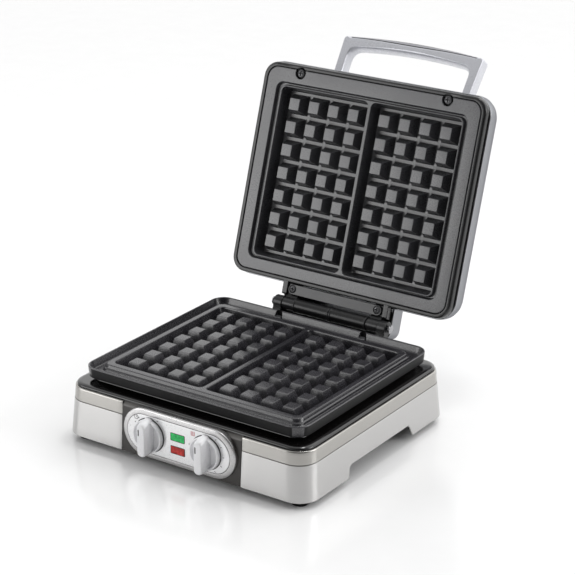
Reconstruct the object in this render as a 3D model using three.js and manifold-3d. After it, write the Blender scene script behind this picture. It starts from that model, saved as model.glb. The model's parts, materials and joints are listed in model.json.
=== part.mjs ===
// Double waffle maker, lid open on its stop.
// Millimetres, +Z up, +X to the right seen from the front, +Y to the back.
// Everything is drawn in the "plate frame": origin on the centre of the two waffle fields,
// z = 0 at the tips of the lower studs.  The outermost group then moves the whole
// appliance so that its origin is the middle of its footprint on the table.
import * as THREE from 'three';
import Module from 'manifold-3d';
import * as BufferGeometryUtils from 'three/addons/utils/BufferGeometryUtils.js';

const wasm = await Module();
wasm.setup();

// ---------------------------------------------------------------- driving dimensions
const TABLE_Z = -70;            // table plane under the feet
const CENTRE_Y = -70.74;        // moves the footprint's middle to the origin
const GAP = 0.3;                // clearance between touching pieces

const PITCH = 22.5;             // stud pitch, both ways
const FIELD_X = 51.12;          // centre of each waffle field from the middle
const COLS = 4, ROWS = 7;       // studs in one field
const STUD_TOP = 11, STUD_BASE = 19.5, STUD_H = 12;

const RIM_HX = 120, RIM_Y0 = -105, RIM_Y1 = 106.5, RIM_TOP = 0.4, RIM_BOT = -10;
const DECK_HX = 128, DECK_HY = 113, DECK_TOP = -14, DECK_BOT = -17;
const COVER_TOP = { z: -17.3, hx: 130, hy: 114.8 };
const COVER_BOT = { z: -64, hx: 133.4, hy: 118.2 };
const COVER_R = 20, COVER_T = 1.8;
const PANEL_HX = 65.4;          // half width of the dark centre panels, front and back
const ARCH_Z = -52.5, ARCH_Y0 = -48, ARCH_Y1 = 51;
const FLOOR_Z = -50;            // underside closing plate

const BEZEL_HX = 61.3, BEZEL_Z = -38.9, BEZEL_R = 23.3, BEZEL_Y = -120.6;
const KNOB_X = 31, KNOB_Z = -38.9, KNOB_R = 15.4;

const HINGE_Y = 122.7, HINGE_Z = 1.3;   // hinge axis, along X
const OPEN_DEG = 107.8;                 // lid angle on its open stop
const LID_FACE = 1.3;                   // faces of the closed lid nearest the lower plate
const FLANGE_HX = 118.5, FLANGE_Y0 = -101, FLANGE_Y1 = 98;
const FRAME_TOP = 8.7;
const SHELL = { z0: 9, hx: 125.4, y0: -107, y1: 104.2, r: 19, top: 44, shoulder: 33 };
const HOOD_HX = 62.4, HOOD_Y = 136, HOOD_TOP = 33;
const PIN_R = 2.5;

// ---------------------------------------------------------------- materials
const std = (color, roughness, metalness) => new THREE.MeshStandardMaterial({ color, roughness, metalness });
const MAT = {
  nonstick: () => std(0x303033, 0.42, 0.35),
  silver: () => std(0xc9c9c8, 0.34, 0.85),
  darkPlastic: () => std(0x4a4743, 0.45, 0.0),
  blackGloss: () => std(0x0d0d0e, 0.2, 0.0),
  blackSatin: () => std(0x1b1b1c, 0.45, 0.0),
  bezel: () => std(0xdcdcdc, 0.35, 0.4),
  green: () => std(0x1c9c46, 0.2, 0.0),
  red: () => std(0xc52a1d, 0.2, 0.0),
  rubber: () => std(0x151515, 0.85, 0.0),
  steel: () => std(0x8f8f92, 0.3, 0.9),
  darkSteel: () => std(0x3a3a3c, 0.35, 0.8),
  alu: () => std(0xb8b8ba, 0.4, 0.8),
  element: () => std(0x55524c, 0.5, 0.7),
  clear: () => std(0xe8dcc8, 0.15, 0.0),
  wire: () => std(0x9a3b22, 0.6, 0.0),
  beige: () => std(0xcfc6b0, 0.6, 0.0),
};

// ---------------------------------------------------------------- geometry helpers
function solidOf(geom) {
  const g = geom.clone();
  for (const k of Object.keys(g.attributes)) if (k !== 'position') g.deleteAttribute(k);
  const m = BufferGeometryUtils.mergeVertices(g, 1e-4);
  const idx = m.index.array, tri = [];
  for (let i = 0; i < idx.length; i += 3) {
    const a = idx[i], b = idx[i + 1], c = idx[i + 2];
    if (a !== b && b !== c && a !== c) tri.push(a, b, c);
  }
  return new wasm.Manifold(new wasm.Mesh({
    numProp: 3,
    vertProperties: new Float32Array(m.attributes.position.array),
    triVerts: new Uint32Array(tri),
  }));
}
function geomOf(solid) {
  const mesh = solid.getMesh();
  const g = new THREE.BufferGeometry();
  g.setAttribute('position', new THREE.BufferAttribute(new Float32Array(mesh.vertProperties), 3));
  g.setIndex(new THREE.BufferAttribute(new Uint32Array(mesh.triVerts), 1));
  g.computeVertexNormals();
  return g;
}
const add = (...s) => s.reduce((a, b) => a.add(b));
const cut = (a, ...s) => s.reduce((x, y) => x.subtract(y), a);

// counter-clockwise rounded rectangle outline, seg steps per corner
function ring(x0, x1, y0, y1, r, seg = 4) {
  const pts = [];
  const corner = (cx, cy, a0) => {
    for (let i = 0; i <= seg; i++) {
      const a = a0 + (Math.PI / 2) * (i / seg);
      pts.push([cx + r * Math.cos(a), cy + r * Math.sin(a)]);
    }
  };
  corner(x1 - r, y1 - r, 0);
  corner(x0 + r, y1 - r, Math.PI / 2);
  corner(x0 + r, y0 + r, Math.PI);
  corner(x1 - r, y0 + r, 1.5 * Math.PI);
  return pts;
}
// closed body through a stack of outlines [{z, pts}], bottom first, all convex
function loft(levels) {
  const n = levels[0].pts.length, pos = [], idx = [];
  for (const l of levels) for (const p of l.pts) pos.push(p[0], p[1], l.z);
  for (let k = 0; k + 1 < levels.length; k++) {
    for (let i = 0; i < n; i++) {
      const a = k * n + i, b = k * n + ((i + 1) % n), c = a + n, d = b + n;
      idx.push(a, b, d, a, d, c);
    }
  }
  const cap = (k, flip) => {
    const contour = levels[k].pts.map((p) => new THREE.Vector2(p[0], p[1]));
    for (const f of THREE.ShapeUtils.triangulateShape(contour, [])) {
      const [a, b, c] = f.map((v) => v + k * n);
      if (flip) idx.push(a, c, b); else idx.push(a, b, c);
    }
  };
  cap(0, true);
  cap(levels.length - 1, false);
  const g = new THREE.BufferGeometry();
  g.setAttribute('position', new THREE.Float32BufferAttribute(pos, 3));
  g.setIndex(idx);
  g.computeVertexNormals();
  return g;
}
const slab = (x0, x1, y0, y1, z0, z1, r = 0, seg = 4) =>
  r > 0 ? loft([{ z: z0, pts: ring(x0, x1, y0, y1, r, seg) }, { z: z1, pts: ring(x0, x1, y0, y1, r, seg) }])
    : new THREE.BoxGeometry(x1 - x0, y1 - y0, z1 - z0).translate((x0 + x1) / 2, (y0 + y1) / 2, (z0 + z1) / 2);
// cylinder along an axis from one end point
function rod(axis, r, from, to, u, v, seg = 16, r2 = r) {
  const g = new THREE.CylinderGeometry(r2, r, Math.abs(to - from), seg);
  const mid = (from + to) / 2;
  if (axis === 'z') return g.rotateX(Math.PI / 2).translate(u, v, mid);
  if (axis === 'y') return g.translate(u, mid, v);
  return g.rotateZ(-Math.PI / 2).translate(mid, u, v);
}
// outline in (Y, Z) pushed along X from x0 to x1
function sideExtrude(shape, x0, x1, seg = 10) {
  const g = new THREE.ExtrudeGeometry(shape, { depth: x1 - x0, bevelEnabled: false, curveSegments: seg });
  // shape x -> Y, shape y -> Z, depth -> X
  g.applyMatrix4(new THREE.Matrix4().set(0, 0, 1, x0, 1, 0, 0, 0, 0, 1, 0, 0, 0, 0, 0, 1));
  return g;
}
// outline in (X, Z) pushed along Y from y0 to y1
function frontExtrude(shape, y0, y1, seg = 10) {
  const g = new THREE.ExtrudeGeometry(shape, { depth: y1 - y0, bevelEnabled: false, curveSegments: seg });
  g.applyMatrix4(new THREE.Matrix4().set(1, 0, 0, 0, 0, 0, -1, y1, 0, 1, 0, 0, 0, 0, 0, 1));
  return g;
}
// pushed along Z from z0 to z1
function planExtrude(shape, z0, z1, seg = 10) {
  return new THREE.ExtrudeGeometry(shape, { depth: z1 - z0, bevelEnabled: false, curveSegments: seg }).translate(0, 0, z0);
}
function polyShape(pts) {
  return new THREE.Shape(pts.map((p) => new THREE.Vector2(p[0], p[1])));
}
// round tube along a path of straight runs joined by small bends
function tube(points, r, sides = 8, bend = 8, steps = 40) {
  const v = points.map((p) => new THREE.Vector3(...p));
  const path = new THREE.CurvePath();
  let start = v[0];
  for (let i = 1; i < v.length - 1; i++) {
    const inDir = v[i - 1].clone().sub(v[i]).normalize(), outDir = v[i + 1].clone().sub(v[i]).normalize();
    const a = v[i].clone().addScaledVector(inDir, bend), b = v[i].clone().addScaledVector(outDir, bend);
    path.add(new THREE.LineCurve3(start, a));
    path.add(new THREE.QuadraticBezierCurve3(a, v[i], b));
    start = b;
  }
  path.add(new THREE.LineCurve3(start, v[v.length - 1]));
  const s = new THREE.Shape();
  for (let i = 0; i < sides; i++) {
    const t = (i / sides) * Math.PI * 2;
    if (i === 0) s.moveTo(r * Math.cos(t), r * Math.sin(t)); else s.lineTo(r * Math.cos(t), r * Math.sin(t));
  }
  s.closePath();
  return new THREE.ExtrudeGeometry(s, { steps, extrudePath: path, bevelEnabled: false });
}
const mirrorX = (solid) => {
  const g = geomOf(solid);
  g.scale(-1, 1, 1);
  const i = g.index.array;
  for (let k = 0; k < i.length; k += 3) { const t = i[k + 1]; i[k + 1] = i[k + 2]; i[k + 2] = t; }
  g.computeVertexNormals();
  return g;
};
const both = (x0, x1) => [[x0, x1], [-x1, -x0]];

const base = new THREE.Group();
const lid = new THREE.Group();       // drawn closed, about the hinge axis
function put(group, name, shape, material) {
  const g = shape.isBufferGeometry ? shape : geomOf(shape);
  const mesh = new THREE.Mesh(g, material);
  mesh.name = name;
  group.add(mesh);
  return mesh;
}
// the base's outer skin between two insets, as a lofted body
const skin = (inset, z0 = COVER_BOT.z, z1 = COVER_TOP.z, seg = 5) => {
  const at = (z) => {
    const t = (z - COVER_TOP.z) / (COVER_BOT.z - COVER_TOP.z);
    const hx = COVER_TOP.hx + (COVER_BOT.hx - COVER_TOP.hx) * t - inset;
    const hy = COVER_TOP.hy + (COVER_BOT.hy - COVER_TOP.hy) * t - inset;
    return { z, pts: ring(-hx, hx, -hy, hy, COVER_R - inset, seg) };
  };
  return loft([at(z0), at(z1)]);
};

// ================================================================ waffle plates
// truncated pyramid with a square foot; z0 is the foot, z1 the tip
function stud(cx, cy, z0, z1) {
  const b = STUD_BASE / 2, t = STUD_TOP / 2;
  const sq = (h) => [[cx + h, cy + h], [cx - h, cy + h], [cx - h, cy - h], [cx + h, cy - h]];
  return z1 > z0
    ? loft([{ z: z0, pts: sq(b) }, { z: z1, pts: sq(t) }])
    : loft([{ z: z1, pts: sq(t) }, { z: z0, pts: sq(b) }]);
}
function studs(z0, z1) {
  let all = null;
  for (const sx of [-1, 1]) {
    for (let c = 0; c < COLS; c++) {
      for (let r = 0; r < ROWS; r++) {
        const s = solidOf(stud(sx * FIELD_X + (c - (COLS - 1) / 2) * PITCH, (r - (ROWS - 1) / 2) * PITCH, z0, z1));
        all = all ? all.add(s) : s;
      }
    }
  }
  return all;
}
const WELL = { x0: 4.6, x1: 97.6, hy: 80.2 };   // floor of one waffle well

// lower plate: tray with a thin rim, an overflow trough and a lip around the two wells
{
  const rim = solidOf(loft([
    { z: RIM_BOT, pts: ring(-RIM_HX + 1.2, RIM_HX - 1.2, RIM_Y0 + 1.2, RIM_Y1 - 1.2, 13) },
    { z: RIM_TOP, pts: ring(-RIM_HX, RIM_HX, RIM_Y0, RIM_Y1, 14) },
  ]));
  const trough = solidOf(loft([
    { z: -6, pts: ring(-115.6, 115.6, RIM_Y0 + 4.4, RIM_Y1 - 4.4, 10) },
    { z: RIM_TOP + 0.4, pts: ring(-117.8, 117.8, RIM_Y0 + 2.2, RIM_Y1 - 2.2, 12) },
  ]));
  const body = solidOf(slab(-106.5, 106.5, -91.5, 92.5, -15.5, -5.9, 8));
  const lip = solidOf(loft([
    { z: -6.2, pts: ring(-109.2, 109.2, -92.6, 93.2, 8) },
    { z: -2.4, pts: ring(-107.6, 107.6, -90.6, 91, 7.5) },
    { z: 0, pts: ring(-106.2, 106.2, -88.8, 89, 7) },
  ]));
  let plate = add(cut(rim, trough), body, lip);
  for (const [a, b] of both(WELL.x0, WELL.x1)) {
    const d = 3.4, m = 3;
    plate = cut(plate, solidOf(loft([
      { z: -STUD_H, pts: ring(a, b, -WELL.hy, WELL.hy, 2.6, 3) },
      { z: 0.3, pts: ring(a > 0 ? a - m : a - d - 0.8, a > 0 ? b + d + 0.8 : b + m, -WELL.hy - d, WELL.hy + d, 5.5, 3) },
    ])));
  }
  plate = add(plate, studs(-STUD_H - 0.2, 0));
  for (const x of [-47.8, 47.8]) {            // round seats for the two rear screws
    plate = cut(plate, solidOf(rod('z', 5.4, -6.5, 2, x, 101.3, 14)), solidOf(rod('z', 2.3, -12, 2, x, 101.3, 10)));
  }
  put(base, 'lower_plate', plate, MAT.nonstick());
}
// rear screws of the lower plate: two pan heads on shanks into the deck
for (const [n, x] of [['left', -47.8], ['right', 47.8]]) {
  put(base, 'lower_plate_screw_' + n, add(solidOf(rod('z', 3.8, -6.2, -3.8, x, 101.3, 14, 3.2)), solidOf(rod('z', 2.0, -13.6, -6, x, 101.3, 10))), MAT.darkSteel());
}

// heating element under the lower plate, and the clamps and tray that hold and shield it
const LOOP = (z, yEnd) => [[-12, yEnd, z], [-80, yEnd, z], [-80, -64, z], [-28, -64, z], [-28, 26, z], [28, 26, z], [28, -64, z], [80, -64, z], [80, yEnd, z], [12, yEnd, z]];
put(base, 'lower_heating_element', tube(LOOP(-19.3, 66), 3.2, 8, 14, 44), MAT.element());
const strap = (z0, z1, zt) => add(solidOf(slab(-92, 92, -14, -6, z0, z1)),
  ...[-91.3, -54, 0, 54, 91.3].map((x) => solidOf(slab(x - 0.7, x + 0.7, -14, -6, Math.min(z0, zt), Math.max(z1, zt)))));
put(base, 'lower_element_strap', strap(-24.2, -23, -15.9), MAT.steel());
put(base, 'lower_reflector', cut(
  solidOf(loft([{ z: -27.6, pts: ring(-100, 100, -84, 84, 8) }, { z: -19.6, pts: ring(-104.5, 104.5, -88.5, 88.5, 10) }])),
  solidOf(loft([{ z: -26.8, pts: ring(-99.3, 99.3, -83.3, 83.3, 7.5) }, { z: -19.2, pts: ring(-103.9, 103.9, -87.9, 87.9, 9.5) }]))), MAT.alu());

// ================================================================ base
// deck: glossy ring that carries the lower plate
{
  const deck = add(
    solidOf(loft([
      { z: DECK_BOT, pts: ring(-DECK_HX + 0.6, DECK_HX - 0.6, -DECK_HY + 0.6, DECK_HY - 0.6, 16) },
      { z: DECK_TOP - 1, pts: ring(-DECK_HX, DECK_HX, -DECK_HY, DECK_HY, 16.5) },
      { z: DECK_TOP, pts: ring(-DECK_HX + 1.2, DECK_HX - 1.2, -DECK_HY + 1.2, DECK_HY - 1.2, 15.5) },
    ])),
    solidOf(slab(-113.5, 113.5, -98, 99, DECK_TOP - 0.5, RIM_BOT - GAP, 10)),
  );
  let d = cut(deck, solidOf(slab(-109.2, 109.2, -94, 95, -20, 0, 9)));
  for (const x of [-47.8, 47.8]) d = add(d, solidOf(rod('z', 4.6, -17, RIM_BOT - GAP, x, 99.2, 12)));
  for (const x of [-47.8, 47.8]) d = cut(d, solidOf(rod('z', 2.3, -18, 0, x, 101.3, 10)));
  put(base, 'base_deck', d, MAT.blackGloss());
}
// housing: dark tub behind the covers, its centre panels flush with them front and back,
// and a cord and hinge box on the back
const stadium = (hx, r, z) => {
  const s = new THREE.Shape();
  s.absarc(hx - r, z, r, -Math.PI / 2, Math.PI / 2, false);
  s.absarc(-hx + r, z, r, Math.PI / 2, 1.5 * Math.PI, false);
  s.closePath();
  return s;
};
const REAR_Y = 127.5, REAR_HX = 66;
{
  const inner = cut(solidOf(skin(COVER_T + 0.4, FLOOR_Z, COVER_TOP.z)), solidOf(skin(COVER_T + 3, FLOOR_Z - 1, COVER_TOP.z + 1)));
  const panels = cut(solidOf(skin(0, -63.6, COVER_TOP.z)), solidOf(skin(3.2, -66, COVER_TOP.z + 2)),
    solidOf(slab(PANEL_HX - 0.4, 200, -200, 200, -80, 0)), solidOf(slab(-200, -PANEL_HX + 0.4, -200, 200, -80, 0)));
  const box = cut(
    solidOf(slab(-REAR_HX + 2, REAR_HX - 2, 112.6, REAR_Y, -60, -17.6, 4)),
    solidOf(slab(-REAR_HX + 4.4, REAR_HX - 4.4, 105, REAR_Y - 2.4, -57.6, -20)));
  let h = add(inner, panels, cut(box, solidOf(skin(3.2, -66, 0))));
  h = cut(h, solidOf(frontExtrude(stadium(BEZEL_HX - 4, BEZEL_R - 4, BEZEL_Z), -125, -100, 8)));
  h = cut(h, solidOf(slab(-52, 52, 108, REAR_Y - 2.4, -56, -22)));
  h = cut(h, solidOf(rod('y', 6.3, 118, 135, -40, -44, 16)));
  put(base, 'base_housing', h, MAT.darkPlastic());
}
// brushed covers: C-shaped wraps, each round one side and both its corners
{
  let wrap = cut(solidOf(skin(0)), solidOf(skin(COVER_T, COVER_BOT.z - 1, COVER_TOP.z + 1)));
  wrap = cut(wrap, solidOf(slab(-PANEL_HX, PANEL_HX, -200, 200, -80, 0)));
  const arch = polyShape([[ARCH_Y0 - 3, -80], [ARCH_Y0 - 3, -64], [ARCH_Y0 - 1.6, ARCH_Z - 3], [ARCH_Y0 + 1.6, ARCH_Z], [ARCH_Y1 - 1, ARCH_Z], [ARCH_Y1 + 5, -64], [ARCH_Y1 + 5, -80]]);
  wrap = cut(wrap, solidOf(sideExtrude(arch, -200, 200)));
  // shallow shadow line around the cover
  wrap = cut(wrap, cut(solidOf(skin(-1, -30.2, -29.4)), solidOf(skin(0.6, -31, -28))));
  const right = wrap.subtract(solidOf(slab(-200, 0, -200, 200, -80, 0)));
  put(base, 'side_cover_right', right, MAT.silver());
  put(base, 'side_cover_left', mirrorX(right), MAT.silver());
}
// underside: closing plate with vent slots, and a post over each foot
const FOOT = [117, 102.5];
{
  let b = solidOf(slab(-126.4, 126.4, -111.2, 111.2, FLOOR_Z - 2.4, FLOOR_Z - GAP, 15));
  for (let i = -3; i <= 3; i++) b = cut(b, solidOf(slab(i * 14 - 2.5, i * 14 + 2.5, -30, 30, -60, -40)));
  b = cut(b, solidOf(slab(-59, 59, -115, -109.6, -60, -40)));   // room for the control bezel's collar
  for (const sx of [-1, 1]) {
    for (const sy of [-1, 1]) {
      b = cut(b, solidOf(rod('z', 2.2, -60, -40, sx * 92, sy * 102, 10)));
      b = add(b, solidOf(rod('z', 10, -63.7, FLOOR_Z - 1, sx * FOOT[0], sy * FOOT[1], 16)));
      b = cut(b, solidOf(rod('z', 3.2, -70, -58, sx * FOOT[0], sy * FOOT[1], 10)));
    }
  }
  put(base, 'bottom_cover', b, MAT.blackSatin());
}
for (const [n, sx, sy] of [['front_left', -1, -1], ['front_right', 1, -1], ['rear_left', -1, 1], ['rear_right', 1, 1]]) {
  const prof = [[0, -70], [6.8, -70], [8.2, -69], [8.4, -64], [2.7, -64], [2.7, -59.2], [0, -59.2]].map((p) => new THREE.Vector2(p[0], p[1]));
  // the lathe spins about Y, so turn it upright
  const g = new THREE.LatheGeometry(prof, 16).rotateX(Math.PI / 2);
  put(base, 'foot_' + n, g.translate(sx * FOOT[0], sy * FOOT[1], 0), MAT.rubber());
}
// case screws: four, up through the closing plate into the tub, next to the feet
for (const [n, sx, sy] of [['front_left', -1, -1], ['front_right', 1, -1], ['rear_left', -1, 1], ['rear_right', 1, 1]]) {
  put(base, 'case_screw_' + n, add(solidOf(rod('z', 3.6, FLOOR_Z - 5, FLOOR_Z - 2.7, sx * 92, sy * 102, 12)), solidOf(rod('z', 1.8, FLOOR_Z - 2.8, FLOOR_Z + 8, sx * 92, sy * 102, 10))), MAT.steel());
}

// ---------------------------------------------------------------- controls
{
  let b = solidOf(frontExtrude(stadium(BEZEL_HX, BEZEL_R, BEZEL_Z), -118.6, -113.3, 9));
  b = add(b, solidOf(frontExtrude(stadium(BEZEL_HX - 1.6, BEZEL_R - 1.6, BEZEL_Z), -119.8, -118.5, 9)));
  b = add(b, solidOf(frontExtrude(stadium(BEZEL_HX - 4.2, BEZEL_R - 4.2, BEZEL_Z), BEZEL_Y, -119.7, 9)));
  b = cut(b, solidOf(skin(-GAP, -70, -10)));
  b = add(b, solidOf(frontExtrude(stadium(BEZEL_HX - 4.4, BEZEL_R - 4.4, BEZEL_Z), -119, -110, 9)));
  b = cut(b, solidOf(frontExtrude(stadium(BEZEL_HX - 6.6, BEZEL_R - 6.6, BEZEL_Z), -118, -100, 9)));
  for (const x of [-KNOB_X, KNOB_X]) b = cut(b, solidOf(rod('y', 3.6, -125, -115, x, KNOB_Z, 14)));
  for (const z of [-33.6, -46]) b = cut(b, solidOf(slab(-7.6, 7.6, -125, -115, z - 3.6, z + 3.6)));
  put(base, 'control_bezel', b, MAT.bezel());
}
for (const [n, z, m] of [['ready_lens_green', -33.6, MAT.green()], ['power_lens_red', -46, MAT.red()]]) {
  put(base, n, add(solidOf(slab(-7.3, 7.3, -121, -117.6, z - 3.3, z + 3.3)), solidOf(slab(-8.6, 8.6, -117.7, -116.4, z - 4.6, z + 4.6))), m);
}
for (const [n, z] of [['ready_lamp', -33.6], ['power_lamp', -46]]) put(base, n, rod('y', 2.8, -116.1, -104, 0, z, 12, 2.2), MAT.clear());
// switch bodies behind the bezel, with bores for the shafts
put(base, 'timer_unit', cut(add(solidOf(slab(-KNOB_X - 16, -KNOB_X + 16, -106, -84, -52.2 + 3, -29)), solidOf(rod('y', 6, -109.5, -105.9, -KNOB_X, KNOB_Z, 16))), solidOf(rod('y', 3.3, -112, -98, -KNOB_X, KNOB_Z, 14))), MAT.alu());
put(base, 'thermostat_unit', cut(add(solidOf(slab(KNOB_X - 13, KNOB_X + 13, -106, -92, -49.2, -29)), solidOf(rod('y', 6, -109.5, -105.9, KNOB_X, KNOB_Z, 16)),
  solidOf(slab(KNOB_X - 4, KNOB_X + 4, -92.1, -76, -44, -41))), solidOf(rod('y', 3.3, -112, -98, KNOB_X, KNOB_Z, 14))), MAT.beige());
put(base, 'terminal_block', add(solidOf(slab(-34, 6, 84, 98, -46, -36)), ...[0, 1, 2].map((i) => solidOf(rod('z', 2.2, -36.1, -34.2, -28 + i * 14, 91, 10)))), MAT.beige());
put(base, 'thermal_fuse', rod('y', 2.4, -10, 14.4, 12, -33.5, 10), MAT.alu());
put(base, 'cord_gland', cut(add(solidOf(rod('y', 5.9, 120.6, 131, -40, -44, 16)), solidOf(rod('y', 8.2, 127.9, 130, -40, -44, 16)), solidOf(rod('y', 7.8, 121.2, 124.6, -40, -44, 16))),
  solidOf(rod('y', 3.4, 110, 140, -40, -44, 12))), MAT.blackSatin());
// leads from the terminals to the switches and the heating element
for (const [n, p] of [
  ['timer_lead', [[-28, 83.4, -41], [-28, 60, -41], [-60, 20, -41], [-60, -60, -41], [-40, -83, -41]]],
  ['thermostat_lead', [[-14, 83.4, -41], [-14, 50, -41], [-8, -50, -41], [22, -74, -38], [22, -91.6, -38]]],
  ['element_lead', [[0, 83.4, -41], [0, 64, -41], [12, 44, -37], [12, 32, -33.5], [12, 14.8, -33.5]]],
]) put(base, n, tube(p, 1.3, 6, 5, 22), MAT.wire());

// ---------------------------------------------------------------- hinge, on the base
const lugShape = (() => {
  const s = new THREE.Shape();
  s.moveTo(HINGE_Y - 6.8, DECK_TOP + GAP);
  s.lineTo(HINGE_Y + 0.9, DECK_TOP + GAP);
  s.lineTo(HINGE_Y + 0.9, HINGE_Z - 6.6);
  s.absarc(HINGE_Y, HINGE_Z, 6.8, -Math.PI * 0.42, Math.PI, false);
  s.closePath();
  const hole = new THREE.Path();
  hole.absarc(HINGE_Y, HINGE_Z, PIN_R + GAP, 0, Math.PI * 2, true);
  s.holes.push(hole);
  return s;
})();
for (const [n, a, b] of [['hinge_lug_left', -63.6, -54.3], ['hinge_lug_right', 54.3, 63.6]]) {
  const foot = solidOf(slab(a, b, 107.4, HINGE_Y + 0.9, DECK_TOP + GAP, DECK_TOP + 4.2));
  const web = solidOf(sideExtrude(polyShape([[109.5, DECK_TOP + 4], [HINGE_Y - 6, DECK_TOP + 4], [HINGE_Y - 6, -1.5]]), a, b));
  put(base, n, add(solidOf(sideExtrude(lugShape, a, b, 9)), foot, web), MAT.blackSatin());
}
put(base, 'hinge_pin', add(solidOf(rod('x', PIN_R, -66, 66, HINGE_Y, HINGE_Z, 14)), solidOf(rod('x', 4.2, -67.4, -65.4, HINGE_Y, HINGE_Z, 14)), solidOf(rod('x', 4.2, 65.4, 67.4, HINGE_Y, HINGE_Z, 14))), MAT.steel());
for (const [n, a, b] of [['hinge_sleeve_left', -41.3, -0.2], ['hinge_sleeve_right', 0.2, 41.3]]) {
  put(base, n, cut(add(solidOf(rod('x', 6.9, a, b, HINGE_Y, HINGE_Z, 18)), solidOf(rod('x', 7.3, a, a + 1.6, HINGE_Y, HINGE_Z, 18)), solidOf(rod('x', 7.3, b - 1.6, b, HINGE_Y, HINGE_Z, 18))),
    solidOf(rod('x', PIN_R + GAP, a - 1, b + 1, HINGE_Y, HINGE_Z, 14))), MAT.blackSatin());
}

// ---------------------------------------------------------------- knobs (turn about their shafts)
function knobSolid(x) {
  const disc = add(solidOf(rod('y', KNOB_R, -125.4, -121.1, x, KNOB_Z, 28)));
  const dish = solidOf(rod('y', KNOB_R - 1.6, -126, -123.4, x, KNOB_Z, 28));
  const tip = loft([
    { z: 121.4, pts: ring(x - 4.6, x + 4.6, KNOB_Z - 17, KNOB_Z + 17, 4, 3) },
    { z: 132.6, pts: ring(x - 3.3, x + 3.3, KNOB_Z - 16.4, KNOB_Z + 16.4, 3, 3) },
    { z: 134, pts: ring(x - 2.2, x + 2.2, KNOB_Z - 15.2, KNOB_Z + 15.2, 2, 3) },
  ]);
  // the loft is drawn upright; lay it down so that its height points to the front
  tip.applyMatrix4(new THREE.Matrix4().set(1, 0, 0, 0, 0, 0, -1, 0, 0, 1, 0, 0, 0, 0, 0, 1));
  return cut(add(disc.subtract(dish), solidOf(tip)), solidOf(rod('y', 3.3, -128, -120, x, KNOB_Z, 14)));
}
put(base, 'timer_knob', knobSolid(-KNOB_X), MAT.bezel());
put(base, 'timer_shaft', rod('y', 3, -127.7, -98.3, -KNOB_X, KNOB_Z, 14), MAT.steel());
put(base, 'thermostat_knob', knobSolid(KNOB_X), MAT.bezel());
put(base, 'thermostat_shaft', rod('y', 3, -127.7, -98.3, KNOB_X, KNOB_Z, 14), MAT.steel());

// ================================================================ lid, drawn closed
const SCREWS_F = [[-82, -98], [82, -98]];
const SCREWS_R = [[-48, 107.9], [48, 107.9]];
// upper plate: flange, groove that clears the lower lip, two wells with studs
{
  const flange = solidOf(slab(-FLANGE_HX, FLANGE_HX, FLANGE_Y0, FLANGE_Y1, LID_FACE + 0.1, 3.7, 11));
  const body = solidOf(slab(-109.5, 109.5, -90.5, 90, 3.6, 19.4, 9));
  let p = add(flange, body);
  p = cut(p, cut(
    solidOf(loft([{ z: 0, pts: ring(-107, 107, -87.6, 87, 8) }, { z: 5.6, pts: ring(-105.8, 105.8, -86.4, 85.8, 7) }])),
    solidOf(loft([{ z: 0, pts: ring(-102.2, 102.2, -84.3, 84.3, 6) }, { z: 5.8, pts: ring(-103.2, 103.2, -85, 85, 6.6) }]))));
  for (const [a, b] of both(WELL.x0, WELL.x1)) {
    p = cut(p, solidOf(loft([
      { z: 1.2, pts: ring(a > 0 ? a - 3.2 : a - 3.6, a > 0 ? b + 3.6 : b + 3.2, -WELL.hy - 3.3, WELL.hy + 3.3, 5.5, 3) },
      { z: 16, pts: ring(a, b, -WELL.hy, WELL.hy, 2.6, 3) },
    ])));
  }
  p = cut(p, solidOf(slab(-102.6, 102.6, -84.8, 84.8, 0, 2.3, 6)));   // beads and divider sit just below the flange face
  p = add(p, studs(16.2, 4));
  for (const [x, y] of SCREWS_F) p = cut(p, solidOf(rod('z', 6, 0, 8, x, y, 16)), solidOf(slab(x - 6, x + 6, y - 12, y, 0, 3.9)));
  put(lid, 'upper_plate', p, MAT.nonstick());
}
put(lid, 'upper_heating_element', tube(LOOP(23.2, 66), 3.2, 8, 14, 44), MAT.element());
put(lid, 'upper_element_strap', strap(26.8, 28, 19.8), MAT.steel());
put(lid, 'upper_reflector', cut(
  solidOf(loft([{ z: 23.6, pts: ring(-100.4, 100.4, -84.4, 84.4, 9) }, { z: 31.4, pts: ring(-95, 95, -79, 79, 8) }])),
  solidOf(loft([{ z: 23.2, pts: ring(-99.8, 99.8, -83.8, 83.8, 8.5) }, { z: 30.6, pts: ring(-94.3, 94.3, -78.3, 78.3, 7.5) }]))), MAT.alu());

// frame: black ring around the upper plate, with the cheeks that line the hinge hood
{
  const F = { y0: -105.6, y1: 102.6 };
  let f = solidOf(loft([
    { z: LID_FACE, pts: ring(-122, 122, F.y0 + 1.6, F.y1 - 1, 13) },
    { z: LID_FACE + 1.6, pts: ring(-123.8, 123.8, F.y0, F.y1, 15) },
    { z: FRAME_TOP, pts: ring(-124.2, 124.2, F.y0 - 0.3, F.y1, 15) },
  ]));
  f = cut(f, solidOf(slab(-119.2, 119.2, FLANGE_Y0 - 0.7, FLANGE_Y1 + 0.7, 0, 4, 11.5)));
  f = cut(f, solidOf(slab(-110.2, 110.2, -91.2, 90.7, 0, 20, 9.5)));
  for (const [x, y] of SCREWS_F) f = cut(f, solidOf(rod('z', 2.5, 0, 10, x, y, 12)), solidOf(rod('z', 5.2, 0, 4, x, y, 16)));
  const cheek = polyShape([[101, LID_FACE], [113.6, LID_FACE], [115.4, 9.7], [127, 9.7], [128.6, 11.4], [128.6, 20], [125, 24], [108, 24], [108, FRAME_TOP], [101, FRAME_TOP]]);
  for (const [a, b] of both(54.4, 60)) f = add(f, solidOf(sideExtrude(cheek, a, b)));
  put(lid, 'lid_frame', f, MAT.blackSatin());
}
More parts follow.
